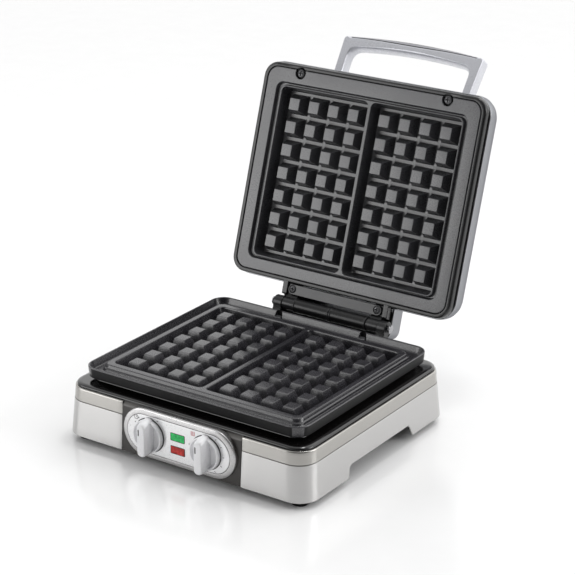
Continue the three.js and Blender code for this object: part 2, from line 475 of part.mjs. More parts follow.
// shell: brushed dome with the hood over the hinge
{
  const lv = (inset, z) => {
    const s = SHELL, r = Math.max(s.r - inset * 0.35, 6);
    return { z, pts: ring(-s.hx + inset, s.hx - inset, s.y0 + inset, s.y1 - inset, r, 5) };
  };
  const dome = (t, z0) => {
    const s = SHELL, out = [], top = s.top - t, R = s.shoulder;
    out.push(lv(t, z0));
    out.push(lv(t, top - R + 4));
    for (const a of [18, 36, 54, 72, 90]) {
      const q = (a * Math.PI) / 180;
      out.push(lv(t + (R - 3) * (1 - Math.cos(q)), top - R + 4 + (R - 4) * Math.sin(q)));
    }
    return out;
  };
  const hoodOuter = (t) => {
    const y1 = HOOD_Y - t, top = HOOD_TOP - t, hx = HOOD_HX - t;
    const at = (inset, z) => ({ z, pts: ring(-hx + inset, hx - inset, 84, y1 - inset, Math.max(9 - t - inset, 1.2), 4) });
    return loft([at(0, 9.7 - (t > 0 ? 3 : 0)), at(0, top - 9), at(1.3, top - 4.4), at(4.6, top - 1.2), at(9, top)]);
  };
  const outer = add(solidOf(loft(dome(0, SHELL.z0))), solidOf(hoodOuter(0)));
  const T = 1.7;
  const inner = add(solidOf(loft(dome(T, SHELL.z0 - 2))), solidOf(hoodOuter(T)));
  put(lid, 'lid_shell', cut(outer, inner), MAT.silver());

  // handle: one U-shaped grip whose arms run back onto the top of the shell
  const slope = Math.atan(0.335);
  const U = new THREE.Shape();
  const hw = 78, bow = 3.4;
  U.moveTo(-75.5, 62);
  U.lineTo(-hw - 0.3, -7.6);
  U.quadraticCurveTo(-hw - 0.3, -10.2, -hw + 2.4, -10.5);
  U.quadraticCurveTo(0, -10.5 - 2 * bow, hw - 2.4, -10.5);
  U.quadraticCurveTo(hw + 0.3, -10.2, hw + 0.3, -7.6);
  U.lineTo(75.5, 62);
  U.lineTo(66, 62);
  U.lineTo(67.6, 11);
  U.quadraticCurveTo(67.4, 1.4, 57, 0.6);
  U.quadraticCurveTo(0, 0.6 - bow * 1.6, -57, 0.6);
  U.quadraticCurveTo(-67.4, 1.4, -67.6, 11);
  U.lineTo(-66, 62);
  U.closePath();
  const place = (g) => {
    g.applyMatrix4(new THREE.Matrix4().makeRotationX(-slope));
    return g.translate(0, -132.4, 61.2);
  };
  const grip = place(new THREE.ExtrudeGeometry(U, { depth: 11.4, bevelEnabled: true, bevelThickness: 1, bevelSize: 1, bevelOffset: -1, bevelSegments: 2, curveSegments: 8 }));
  const grown = [lv(-GAP, SHELL.z0), lv(-GAP, SHELL.top - SHELL.shoulder + 4)];
  for (const a of [18, 36, 54, 72, 90]) {
    const q = (a * Math.PI) / 180;
    grown.push(lv(-GAP + (SHELL.shoulder - 3) * (1 - Math.cos(q)), SHELL.top + GAP - SHELL.shoulder + 4 + (SHELL.shoulder - 4) * Math.sin(q)));
  }
  // groove along the front face that takes the grip strip
  const seat = new THREE.Shape();
  seat.moveTo(-73, -7.6); seat.quadraticCurveTo(0, -7.6 - 2 * bow, 73, -7.6); seat.lineTo(73, -20); seat.lineTo(-73, -20); seat.closePath();
  const groove = place(new THREE.ExtrudeGeometry(seat, { depth: 8.8, bevelEnabled: false, curveSegments: 12 }).translate(0, 0, 1.3));
  let hf = cut(solidOf(grip), solidOf(loft(grown)), solidOf(groove));
  hf = cut(hf, solidOf(slab(-100, 100, -200, 200, 0, 41)));
  put(lid, 'handle_frame', hf, MAT.silver());
  const strip = new THREE.Shape();
  strip.moveTo(-72.6, -8); strip.lineTo(-72.6, -10.6);
  strip.quadraticCurveTo(0, -11.4 - 2 * bow, 72.6, -10.6);
  strip.lineTo(72.6, -8);
  strip.quadraticCurveTo(0, -8 - 2 * bow, -72.6, -8);
  put(lid, 'handle_grip_strip', place(new THREE.ExtrudeGeometry(strip, { depth: 8.2, bevelEnabled: false, curveSegments: 12 }).translate(0, 0, 1.6)), MAT.alu());
}
// screws: plate screws in front, hinge screws behind, handle screws from inside the shell
const headAndShank = (x, y, zh, zt, r = 3.9, rs = 2.1) => add(solidOf(rod('z', r, zh, zh + 2.2, x, y, 16, r)), solidOf(rod('z', rs, zh + 2, zt, x, y, 10)));
for (const [n, i] of [['left', 0], ['right', 1]]) {
  put(lid, 'upper_plate_screw_' + n, headAndShank(...SCREWS_F[i], 1.6, 10.6), MAT.darkSteel());
  put(lid, 'hinge_screw_' + n, headAndShank(...SCREWS_R[i], 0.9, 10, 3.6), MAT.darkSteel());
  put(lid, 'handle_screw_' + n, rod('z', 4.2, 38.6, 41.8, i ? 72 : -72, -70, 12), MAT.steel());
}

// hinge, on the lid: cover strip over the two arms that reach the axis
{
  const s = new THREE.Shape();
  s.moveTo(-47, 103.4); s.lineTo(47, 103.4);
  s.absarc(48, 108.1, 4.9, -Math.PI * 0.42, Math.PI * 0.42, false);
  s.lineTo(-47, 113);
  s.absarc(-48, 108.1, 4.9, Math.PI * 0.58, Math.PI * 1.42, false);
  s.closePath();
  let p = solidOf(planExtrude(s, LID_FACE, 3.3, 6));
  for (const [x, y] of SCREWS_R) p = cut(p, solidOf(rod('z', 3.9, 0, 3.6, x, y, 16)));
  put(lid, 'hinge_cover_strip', p, MAT.nonstick());
  const arm = new THREE.Shape();
  arm.moveTo(HINGE_Y - 4.4, HINGE_Z + 4.4);
  arm.lineTo(114.6, 14.4);
  arm.lineTo(91.6, 14.4);
  arm.lineTo(91.6, 9.1);
  arm.lineTo(103.4, 9.1);
  arm.lineTo(103.4, 3.7);
  arm.lineTo(113, 3.7);
  arm.lineTo(HINGE_Y - 6.2, HINGE_Z);
  arm.absarc(HINGE_Y, HINGE_Z, 6.2, Math.PI, Math.PI * 2.75, false);
  arm.closePath();
  const hole = new THREE.Path();
  hole.absarc(HINGE_Y, HINGE_Z, PIN_R + GAP, 0, Math.PI * 2, true);
  arm.holes.push(hole);
  for (const [n, a, b] of [['hinge_arm_left', -54, -41.8], ['hinge_arm_right', 41.8, 54]]) {
    put(lid, n, cut(solidOf(sideExtrude(arm, a, b, 9)), solidOf(rod('z', 2.4, 0, 10.4, a < 0 ? -48 : 48, 107.9, 10))), MAT.blackSatin());
  }
}

// ================================================================ assembly
const hinge = new THREE.Group();
hinge.position.set(0, HINGE_Y, HINGE_Z);
hinge.rotation.x = THREE.MathUtils.degToRad(-OPEN_DEG);
lid.position.set(0, -HINGE_Y, -HINGE_Z);
hinge.add(lid);
const waffleMaker = new THREE.Group();
waffleMaker.position.set(0, CENTRE_Y, -TABLE_Z);
waffleMaker.add(base, hinge);
waffleMaker.updateMatrixWorld(true);

export default waffleMaker;
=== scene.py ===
import json
import math

import bmesh
import bpy
from mathutils import Matrix, Vector
from mathutils.geometry import tessellate_polygon


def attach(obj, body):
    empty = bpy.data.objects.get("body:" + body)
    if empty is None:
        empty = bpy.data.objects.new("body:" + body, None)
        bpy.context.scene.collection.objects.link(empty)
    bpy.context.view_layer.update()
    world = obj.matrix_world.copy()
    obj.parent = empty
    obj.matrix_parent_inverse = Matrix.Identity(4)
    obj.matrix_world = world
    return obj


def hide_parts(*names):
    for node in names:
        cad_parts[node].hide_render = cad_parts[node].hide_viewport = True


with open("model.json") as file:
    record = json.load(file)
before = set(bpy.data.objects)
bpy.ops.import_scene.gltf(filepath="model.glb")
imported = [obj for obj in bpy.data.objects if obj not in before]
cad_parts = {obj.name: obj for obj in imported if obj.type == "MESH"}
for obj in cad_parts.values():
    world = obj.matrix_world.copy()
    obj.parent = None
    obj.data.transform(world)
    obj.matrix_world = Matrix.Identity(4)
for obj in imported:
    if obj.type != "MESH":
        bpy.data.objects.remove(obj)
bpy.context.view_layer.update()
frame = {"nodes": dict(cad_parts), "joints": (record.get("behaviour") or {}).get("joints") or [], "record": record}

JOINTS = {j["name"]: j for j in frame["joints"]}
BODIES = frame["record"]["behaviour"]["bodies"]

# ------------------------------------------------------------------ frames
# Pieces are drawn in millimetres about the middle of the waffle fields, z = 0 at the stud
# tips, the lid closed.  BASE and LID carry them into the row frame, with the lid open.
HINGE_Y, HINGE_Z = 122.7, 1.3
hinge = JOINTS["lid_hinge"]
hp = Vector(hinge["pos_m"])
MM = Matrix.Scale(0.001, 4)
BASE = Matrix.Translation(hp - Vector((0, HINGE_Y, HINGE_Z)) / 1000) @ MM
LID = (Matrix.Translation(hp) @ Matrix.Rotation(-math.radians(hinge["range_deg"][1]), 4, "X")
       @ Matrix.Translation(Vector((0, -HINGE_Y, -HINGE_Z)) / 1000) @ MM)
TIMER_X = JOINTS["timer_turn"]["pos_m"][0] * 1000
THERMO_X = JOINTS["thermostat_turn"]["pos_m"][0] * 1000
KNOB_Z = (JOINTS["timer_turn"]["pos_m"][2] - (hp.z - HINGE_Z / 1000)) * 1000

PITCH, FIELD_X, COLS, ROWS = 22.5, 51.12, 4, 7
WELL_A, WELL_B, WELL_HY = 4.6, 97.6, 80.2


def lin(r, g, b):
    f = lambda c: c / 12.92 if c <= 0.04045 else ((c + 0.055) / 1.055) ** 2.4
    return (f(r / 255), f(g / 255), f(b / 255))


# ------------------------------------------------------------------ materials
def _new(name):
    m = bpy.data.materials.new(name)
    m.use_nodes = True
    nt = m.node_tree
    nt.nodes.clear()
    out = nt.nodes.new("ShaderNodeOutputMaterial")
    p = nt.nodes.new("ShaderNodeBsdfPrincipled")
    nt.links.new(p.outputs[0], out.inputs[0])
    return m, nt, p


def _noise(nt, src, scale, detail=3.0, rough=0.55):
    n = nt.nodes.new("ShaderNodeTexNoise")
    n.inputs["Scale"].default_value = scale
    n.inputs["Detail"].default_value = detail
    n.inputs["Roughness"].default_value = rough
    nt.links.new(src, n.inputs["Vector"])
    return n.outputs[0]


def _range(nt, src, a, b, lo=0.3, hi=0.7):
    n = nt.nodes.new("ShaderNodeMapRange")
    n.clamp = True
    n.inputs["From Min"].default_value = lo
    n.inputs["From Max"].default_value = hi
    n.inputs["To Min"].default_value = a
    n.inputs["To Max"].default_value = b
    nt.links.new(src, n.inputs["Value"])
    return n.outputs[0]


def _mix(nt, fac, a, b):
    n = nt.nodes.new("ShaderNodeMix")
    n.data_type = "RGBA"
    n.inputs[0].default_value = 0.5
    nt.links.new(fac, n.inputs[0])
    for i, c in ((6, a), (7, b)):
        if isinstance(c, (tuple, list)):
            n.inputs[i].default_value = (*c[:3], 1)
        else:
            nt.links.new(c, n.inputs[i])
    return n.outputs[2]


def _math(nt, op, a, b):
    n = nt.nodes.new("ShaderNodeMath")
    n.operation = op
    for i, v in enumerate((a, b)):
        if isinstance(v, (int, float)):
            n.inputs[i].default_value = v
        else:
            nt.links.new(v, n.inputs[i])
    return n.outputs[0]


def surface(name, color, rough=0.4, metal=0.0, grain=900.0, vary=0.06, rvary=0.08, bump=0.15,
            depth=0.0002, stretch=(1, 1, 1), big=14.0, coat=0.0, spec=0.5, aniso=0.0, edge_wear_and_highlight=None,
            speck=None, second=None):
    """One procedural finish: fine grain for bump and roughness, slow variation for colour,
    optional lighter convex edges (a painted highlight where the waffle plates use them) and optional specks."""
    m, nt, p = _new(name)
    tc = nt.nodes.new("ShaderNodeTexCoord")
    mp = nt.nodes.new("ShaderNodeMapping")
    mp.inputs["Scale"].default_value = stretch
    nt.links.new(tc.outputs["Object"], mp.inputs["Vector"])
    fine = _noise(nt, mp.outputs[0], grain, 4.0)
    slow = _noise(nt, tc.outputs["Object"], big, 3.0)
    both = _math(nt, "ADD", _math(nt, "MULTIPLY", fine, 0.6), _math(nt, "MULTIPLY", slow, 0.4))
    a = tuple(c * (1 - vary) for c in color)
    b = tuple(min(1.0, c * (1 + vary)) for c in color)
    col = _mix(nt, _range(nt, both, 0, 1, 0.36, 0.64), a, b)
    if speck:
        s = _noise(nt, tc.outputs["Object"], speck[1], 2.0)
        col = _mix(nt, _range(nt, s, 0, speck[2], 0.6, 0.72), col, speck[0])
    # lighter convex edges found by pointiness: on the waffle plates this is a painted highlight along stud and rim
    # edges
    if edge_wear_and_highlight:
        g = nt.nodes.new("ShaderNodeNewGeometry")
        w = _math(nt, "MULTIPLY", _range(nt, g.outputs["Pointiness"], 0, edge_wear_and_highlight[1], 0.52, 0.60), _range(nt, slow, 0.5, 1.0))
        col = _mix(nt, w, col, edge_wear_and_highlight[0])
    nt.links.new(col, p.inputs["Base Color"])
    nt.links.new(_range(nt, both, max(rough - rvary, 0.02), min(rough + rvary, 1.0), 0.36, 0.64), p.inputs["Roughness"])
    bp = nt.nodes.new("ShaderNodeBump")
    bp.inputs["Strength"].default_value = bump
    bp.inputs["Distance"].default_value = depth
    h = fine
    if second:
        h = _math(nt, "ADD", _math(nt, "MULTIPLY", fine, 0.5), _math(nt, "MULTIPLY", _noise(nt, mp.outputs[0], second, 2.0), 1.0))
    nt.links.new(h, bp.inputs["Height"])
    nt.links.new(bp.outputs[0], p.inputs["Normal"])
    p.inputs["Metallic"].default_value = metal
    p.inputs["Specular IOR Level"].default_value = spec
    if coat:
        p.inputs["Coat Weight"].default_value = coat
        p.inputs["Coat Roughness"].default_value = 0.08
    if aniso:
        p.inputs["Anisotropic"].default_value = aniso
    return m


def hatched(name, color, dark):
    """Fine diagonal knurl on the grip strip."""
    m, nt, p = _new(name)
    tc = nt.nodes.new("ShaderNodeTexCoord")
    w = nt.nodes.new("ShaderNodeTexWave")
    w.wave_type = "BANDS"
    w.bands_direction = "DIAGONAL"
    w.inputs["Scale"].default_value = 330.0
    w.inputs["Distortion"].default_value = 0.0
    nt.links.new(tc.outputs["Object"], w.inputs["Vector"])
    n = _noise(nt, tc.outputs["Object"], 900, 3)
    f = _range(nt, w.outputs[1], 0, 1, 0.35, 0.65)
    col = _mix(nt, f, dark, color)
    nt.links.new(col, p.inputs["Base Color"])
    nt.links.new(_range(nt, n, 0.28, 0.42), p.inputs["Roughness"])
    bp = nt.nodes.new("ShaderNodeBump")
    bp.inputs["Strength"].default_value = 0.35
    bp.inputs["Distance"].default_value = 0.00015
    nt.links.new(f, bp.inputs["Height"])
    nt.links.new(bp.outputs[0], p.inputs["Normal"])
    p.inputs["Metallic"].default_value = 0.6
    return m


def lens(name, color, glow):
    """Moulded indicator lens: fine ribs and a mottled body."""
    m, nt, p = _new(name)
    tc = nt.nodes.new("ShaderNodeTexCoord")
    w = nt.nodes.new("ShaderNodeTexWave")
    w.wave_type = "BANDS"
    w.bands_direction = "X"
    w.inputs["Scale"].default_value = 260.0
    nt.links.new(tc.outputs["Object"], w.inputs["Vector"])
    n = _noise(nt, tc.outputs["Object"], 420, 3)
    mix = _math(nt, "ADD", _math(nt, "MULTIPLY", n, 0.75), _math(nt, "MULTIPLY", w.outputs[1], 0.25))
    col = _mix(nt, _range(nt, mix, 0, 1, 0.35, 0.7), tuple(c * 0.55 for c in color), tuple(min(1, c * 1.35 + 0.02) for c in color))
    nt.links.new(col, p.inputs["Base Color"])
    nt.links.new(col, p.inputs["Emission Color"])
    p.inputs["Emission Strength"].default_value = glow
    nt.links.new(_range(nt, n, 0.12, 0.26), p.inputs["Roughness"])
    bp = nt.nodes.new("ShaderNodeBump")
    bp.inputs["Strength"].default_value = 0.3
    bp.inputs["Distance"].default_value = 0.0002
    nt.links.new(mix, bp.inputs["Height"])
    nt.links.new(bp.outputs[0], p.inputs["Normal"])
    p.inputs["Specular IOR Level"].default_value = 0.3
    return m


# waffle plates: the lighter convex edges set here are a painted highlight along the stud and rim edges
M_LOWER = surface("nonstick_lower", lin(41, 40, 44), 0.24, 0.0, 1300, 0.30, 0.08, 0.42, 0.00018, spec=0.85,
                  speck=(lin(88, 87, 93), 1500, 0.5), edge_wear_and_highlight=(lin(130, 129, 134), 0.18))
# lid plate: the same non-stick coating as the lower plate, painted lighter to stand in for light it lacks
M_UPPER_PAINTED_LIGHTER = surface("nonstick_upper_painted_lighter", lin(56, 56, 59), 0.30, 0.0, 1300, 0.26, 0.07, 0.34, 0.00016, spec=1.0,
                  speck=(lin(86, 86, 90), 1500, 0.4), edge_wear_and_highlight=(lin(140, 140, 144), 0.25))
M_ARMSTRIP = surface("arm_strip", lin(44, 44, 46), 0.32, 0.0, 2000, 0.12, 0.06, 0.22, 0.0001, spec=0.7)
M_DECK = surface("deck_gloss", lin(13, 12, 12), 0.11, 0.0, 1600, 0.10, 0.04, 0.03, 0.00008, spec=0.5, coat=0.4)
M_COVER = surface("brushed_cover", lin(192, 191, 190), 0.24, 0.94, 2600, 0.02, 0.02, 0.022, 0.00005, stretch=(0.02, 0.02, 1.0), aniso=0.35, second=900)
M_BAND_SHADED = surface("brushed_band_painted_shade", lin(172, 170, 166), 0.24, 0.94, 2600, 0.02, 0.02, 0.022, 0.00005, stretch=(0.02, 0.02, 1.0), aniso=0.35, second=900)
M_SHELL = surface("brushed_shell", lin(164, 165, 168), 0.34, 0.9, 2600, 0.03, 0.04, 0.04, 0.00005, stretch=(0.02, 1.0, 1.0), aniso=0.35, second=900)
M_HANDLE = surface("handle_paint", lin(210, 211, 217), 0.28, 0.4, 1800, 0.01, 0.02, 0.01, 0.00005, spec=0.5, coat=0.25)
for _n in M_SHELL.node_tree.nodes:
    if _n.type == "BSDF_PRINCIPLED":
        _n.inputs["Specular Tint"].default_value = (0.34, 0.34, 0.36, 1.0)
M_STRIP = hatched("grip_hatch", lin(190, 190, 194), lin(150, 150, 155))
M_PANEL = surface("panel_plastic", lin(52, 49, 46), 0.36, 0.0, 1500, 0.06, 0.08, 0.14, 0.0001, spec=0.45)
M_PANEL_SHOULDER_HIGHLIGHT = surface("panel_shoulder_painted_highlight", lin(88, 86, 83), 0.34, 0.0, 1500, 0.06, 0.08, 0.14, 0.0001, spec=0.5)
M_BLACK = surface("black_plastic", lin(26, 26, 27), 0.34, 0.0, 1700, 0.12, 0.08, 0.16, 0.0001, spec=0.5)
M_FRAME = surface("frame_black", lin(30, 30, 31), 0.27, 0.0, 1700, 0.10, 0.07, 0.12, 0.0001, spec=0.5, coat=0.15)
M_HINGE = surface("hinge_paint", lin(26, 26, 27), 0.30, 0.15, 1500, 0.12, 0.08, 0.14, 0.0001, spec=0.5, edge_wear_and_highlight=(lin(96, 96, 98), 0.4))
M_BEZEL = surface("bezel_silver", lin(226, 226, 227), 0.30, 0.75, 1900, 0.03, 0.05, 0.08, 0.00006, spec=0.5, coat=0.15)
M_BORDER_SHADED = surface("bezel_border_painted_shade", lin(190, 189, 189), 0.26, 0.95, 1900, 0.04, 0.05, 0.08, 0.00006, spec=0.5)
M_KNOB = surface("knob_silver", lin(236, 236, 238), 0.28, 0.1, 1900, 0.03, 0.05, 0.08, 0.00006, spec=0.5, coat=0.2)
M_GREEN = lens("lens_green", lin(26, 160, 80), 0.45)
M_RED = lens("lens_red", lin(168, 30, 18), 0.25)
M_RUBBER = surface("foot_rubber", lin(11, 11, 11), 0.8, 0.0, 1300, 0.15, 0.08, 0.3, 0.0002, spec=0.3)
M_STEEL = surface("zinc_steel", lin(160, 160, 163), 0.28, 0.95, 1400, 0.10, 0.08, 0.12, 0.00008, edge_wear_and_highlight=(lin(215, 215, 217), 0.5))
M_DARKSCREW = surface("screw_dark", lin(72, 72, 74), 0.34, 0.55, 1400, 0.14, 0.08, 0.16, 0.0001, edge_wear_and_highlight=(lin(170, 170, 172), 0.6))
M_ELEMENT = surface("element_sheath", lin(96, 90, 84), 0.46, 0.85, 700, 0.18, 0.10, 0.2, 0.0001)
M_ALU = surface("reflector_sheet", lin(190, 190, 192), 0.30, 0.95, 1200, 0.06, 0.08, 0.12, 0.00008, stretch=(0.05, 1, 1))
M_BEIGE = surface("ceramic_beige", lin(206, 198, 176), 0.62, 0.0, 900, 0.06, 0.08, 0.2, 0.00015)
M_LEAD = surface("lead_sleeve", lin(150, 62, 44), 0.55, 0.0, 1500, 0.10, 0.08, 0.25, 0.0001)
M_LAMP = surface("lamp_glass", lin(236, 222, 196), 0.12, 0.0, 500, 0.05, 0.04, 0.05, 0.00005, coat=0.4)
M_PRINT_AND_GROOVE_SHADE = surface("dark_print_and_groove_shade", lin(70, 66, 68), 0.5, 0.0, 2500, 0.12, 0.06, 0.1, 0.00005)
M_PRINT_RED = surface("print_red", lin(196, 92, 98), 0.5, 0.0, 2500, 0.12, 0.06, 0.1, 0.00005)
M_RIM = surface("nonstick_outer_wall", lin(15, 15, 16), 0.42, 0.0, 2200, 0.14, 0.07, 0.22, 0.00012, spec=0.22)
M_SEAM = surface("cover_seam", lin(112, 110, 106), 0.5, 0.4, 1500, 0.10, 0.08, 0.1, 0.00005)
M_EDGE = surface("strip_edge", lin(40, 40, 43), 0.5, 0.0, 1800, 0.08, 0.06, 0.08, 0.00006)
M_SLOT = surface("slot_dark", lin(30, 30, 31), 0.6, 0.0, 1200, 0.12, 0.08, 0.1, 0.00005)


# ------------------------------------------------------------------ mesh helpers (millimetres)
class Solid:
    def __init__(self):
        self.v, self.f = [], []

    def ring(self, pts):
        i = len(self.v)
        self.v += [tuple(p) for p in pts]
        return list(range(i, len(self.v)))

    def bridge(self, a, b, closed=True):
        n = len(a)
        for i in range(n if closed else n - 1):
            j = (i + 1) % n
            self.f.append((a[i], a[j], b[j], b[i]))

    def cap(self, a):
        self.f.append(tuple(a))

    def loft(self, rings, cap0=True, cap1=True, loop=False):
        ids = [self.ring(r) for r in rings]
        for a, b in zip(ids, ids[1:]):
            self.bridge(a, b)
        if loop:
            self.bridge(ids[-1], ids[0])
        else:
            if cap0:
                self.cap(ids[0])
            if cap1:
                self.cap(ids[-1])
        return ids

    def box(self, x0, x1, y0, y1, z0, z1):
        self.loft([[(x0, y0, z0), (x1, y0, z0), (x1, y1, z0), (x0, y1, z0)], [(x0, y0, z1), (x1, y0, z1), (x1, y1, z1), (x0, y1, z1)]])


def rr(x0, x1, y0, y1, r, seg=6, mid=False):
    r = (r,) * 4 if not isinstance(r, (tuple, list)) else r
    pts = []

    def corner(cx, cy, a0, rad):
        for i in range(seg + 1):
            a = a0 + math.pi / 2 * i / seg
            pts.append((cx + rad * math.cos(a), cy + rad * math.sin(a)))

    corner(x1 - r[0], y1 - r[0], 0, r[0])
    if mid:
        pts.append((0.0, y1))
    corner(x0 + r[1], y1 - r[1], math.pi / 2, r[1])
    corner(x0 + r[2], y0 + r[2], math.pi, r[2])
    if mid:
        pts.append((0.0, y0))
    corner(x1 - r[3], y0 + r[3], math.pi * 1.5, r[3])
    return pts


def at_z(pts, z):
    return [(x, y, z) for x, y in pts]


def circle(r, n):
    return [(r * math.cos(2 * math.pi * i / n), r * math.sin(2 * math.pi * i / n)) for i in range(n)]


def lathe(S, profile, centre, axis="z", n=40, cap0=True, cap1=True):
    """profile is (radius, height) along the axis."""
    rings = []
    cx, cy, cz = centre
    for r, h in profile:
        pts = []
        for a, b in circle(max(r, 1e-4), n):
            pts.append({"z": (cx + a, cy + b, h), "y": (cx + a, h, cz + b), "x": (h, cy + a, cz + b)}[axis])
        rings.append(pts)
    S.loft(rings, cap0, cap1)


def prism(S, outline, a, b, axis="x"):
    """outline is (Y, Z) pushed along X, or (X, Y) pushed along Z, or (X, Z) pushed along Y."""
    f = {"x": lambda p, t: (t, p[0], p[1]), "z": lambda p, t: (p[0], p[1], t), "y": lambda p, t: (p[0], t, p[1])}[axis]
    S.loft([[f(p, a) for p in outline], [f(p, b) for p in outline]])


def build(name, S, M, body, mat, bevel=0.0, seg=2, angle=35.0, replaces=(), solidify=0.0, flip=None, subsurf=0, carve=(), weld=1e-3):
    bm = bmesh.new()
    vs = [bm.verts.new(p) for p in S.v]
    for f in S.f:
        ids = []
        for i in f:
            if not ids or i != ids[-1]:
                ids.append(i)
        if len(set(ids)) >= 3:
            try:
                bm.faces.new([vs[i] for i in ids])
            except ValueError:
                pass
    bmesh.ops.remove_doubles(bm, verts=bm.verts, dist=weld)
    bmesh.ops.dissolve_degenerate(bm, edges=bm.edges, dist=1e-4)
    if solidify:
        c = sum((v.co for v in bm.verts), Vector()) / len(bm.verts)
        bmesh.ops.recalc_face_normals(bm, faces=bm.faces)
        s = 0.0
        for f in bm.faces:
            d = f.calc_center_median() - c
            s += f.normal.dot(d) * f.calc_area()
        if (s < 0) != bool(flip):
            bmesh.ops.reverse_faces(bm, faces=bm.faces)
    else:
        bmesh.ops.recalc_face_normals(bm, faces=bm.faces)
    bmesh.ops.transform(bm, matrix=M, verts=bm.verts)
    me = bpy.data.meshes.new(name)
    bm.to_mesh(me)
    bm.free()
    o = bpy.data.objects.new(name, me)
    bpy.context.scene.collection.objects.link(o)
    for cutter in carve:
        md = o.modifiers.new("cut", "BOOLEAN")
        md.operation = "DIFFERENCE"
        md.solver = "EXACT"
        md.object = cutter
    if carve:
        dg = bpy.context.evaluated_depsgraph_get()
        me2 = bpy.data.meshes.new_from_object(o.evaluated_get(dg))
        o.modifiers.clear()
        o.data = me2
        me2.name = name
    o.data.materials.clear()
    o.data.materials.append(mat)
    for p in o.data.polygons:
        p.use_smooth = True
        p.material_index = 0
    if solidify:
        md = o.modifiers.new("wall", "SOLIDIFY")
        md.thickness = solidify / 1000
        md.offset = -1
        md.use_even_offset = True
    if bevel:
        md = o.modifiers.new("edge", "BEVEL")
        md.width = bevel / 1000
        md.segments = seg
        md.limit_method = "ANGLE"
        md.angle_limit = math.radians(angle)
        md.use_clamp_overlap = True
        md.miter_outer = "MITER_ARC"
    if subsurf:
        md = o.modifiers.new("round", "SUBSURF")
        md.levels = md.render_levels = subsurf
    md = o.modifiers.new("normals", "WEIGHTED_NORMAL")
    md.keep_sharp = False
    md.weight = 60
    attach(o, body)
    if replaces:
        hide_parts(*replaces)
    return o


def cutter(S, M):
    bm = bmesh.new()
    vs = [bm.verts.new(p) for p in S.v]
    for f in S.f:
        bm.faces.new([vs[i] for i in f])
    bmesh.ops.recalc_face_normals(bm, faces=bm.faces)
    bmesh.ops.transform(bm, matrix=M, verts=bm.verts)
    me = bpy.data.meshes.new("cutter")
    bm.to_mesh(me)
    bm.free()
    o = bpy.data.objects.new("cutter", me)
    bpy.context.scene.collection.objects.link(o)
    return o


def drop(objs):
    for o in objs:
        me = o.data
        bpy.data.objects.remove(o)
        bpy.data.meshes.remove(me)


# ------------------------------------------------------------------ waffle wells with studs
def wells(S, last, floor, tip, top, mid_r, up):
    """Closes a plate inside its last full ring: two drafted wells, each with its studs.
    last = (hx, y0, y1, r, z) of that ring; top = (a_in, b_out, dy) growth of the mouth; up = +1 or -1, not used."""
    hx, y0, y1, r, zt = last
    seg = 6
    for side in (1, -1):
        if side > 0:
            h = S.ring(at_z(rr(0, hx, y0, y1, (r, 0, 0, r), seg), zt))
        else:
            h = S.ring(at_z(rr(-hx, 0, y0, y1, (0, r, r, 0), seg), zt))

        def loop(a, b, hy, rad, z):
            x0, x1 = (a, b) if side > 0 else (-b, -a)
            return S.ring(at_z(rr(x0, x1, -hy, hy, rad, seg), z))

        a_in, b_out, dy = top
        depth = floor - zt
        steps = []
        # rounded mouth, drafted wall, fillet at the floor
        for grow, f in ((1.0, 0.0), (0.90, 0.035), (0.80, 0.10), (0.14, 0.90), (0.04, 0.965), (-0.10, 1.0)):
            steps.append(loop(WELL_A - a_in * grow, WELL_B + b_out * grow, WELL_HY + dy * grow, mid_r + (5.5 - mid_r) * max(grow, 0), zt + depth * f))
        S.bridge(h, steps[0])
        for p, q in zip(steps, steps[1:]):
            S.bridge(p, q)
        fring = steps[-1]
        xs, ys = [], []
        for c in range(COLS):
            cx = side * FIELD_X + (c - (COLS - 1) / 2) * PITCH
            xs += [cx - 9.75, cx + 9.75]
        for q in range(ROWS):
            cy = (q - (ROWS - 1) / 2) * PITCH
            ys += [cy - 9.75, cy + 9.75]
        grid = [[S.ring([(x, y, floor)])[0] for y in ys] for x in xs]
        nx, ny = len(xs), len(ys)
        for i in range(nx - 1):
            for j in range(ny - 1):
                a, b, c, d = grid[i][j], grid[i + 1][j], grid[i + 1][j + 1], grid[i][j + 1]
                if i % 2 == 0 and j % 2 == 0:
                    mx, my = (xs[i] + xs[i + 1]) / 2, (ys[j] + ys[j + 1]) / 2
                    prev = [a, b, c, d]
                    for half, f in ((9.35, 0.035), (9.0, 0.09), (5.82, 0.94), (5.66, 0.98), (5.3, 1.0)):
                        z = floor + (tip - floor) * f
                        cur = S.ring([(mx - half, my - half, z), (mx + half, my - half, z), (mx + half, my + half, z), (mx - half, my + half, z)])
                        S.bridge(prev, cur)
                        prev = cur
                    S.cap(prev)
                else:
                    S.f.append((a, b, c, d))
        edge = [grid[i][0] for i in range(nx)] + [grid[nx - 1][j] for j in range(1, ny)] + [grid[i][ny - 1] for i in range(nx - 2, -1, -1)] + [grid[0][j] for j in range(ny - 2, 0, -1)]
        # the rest of the floor, between the studs' block and the foot of the walls
        outer = [Vector(S.v[i]) for i in fring]
        inner = [Vector(S.v[i]) for i in edge]
        ids = fring + edge
        for t in tessellate_polygon([outer, inner]):
            S.f.append(tuple(ids[k] for k in t))


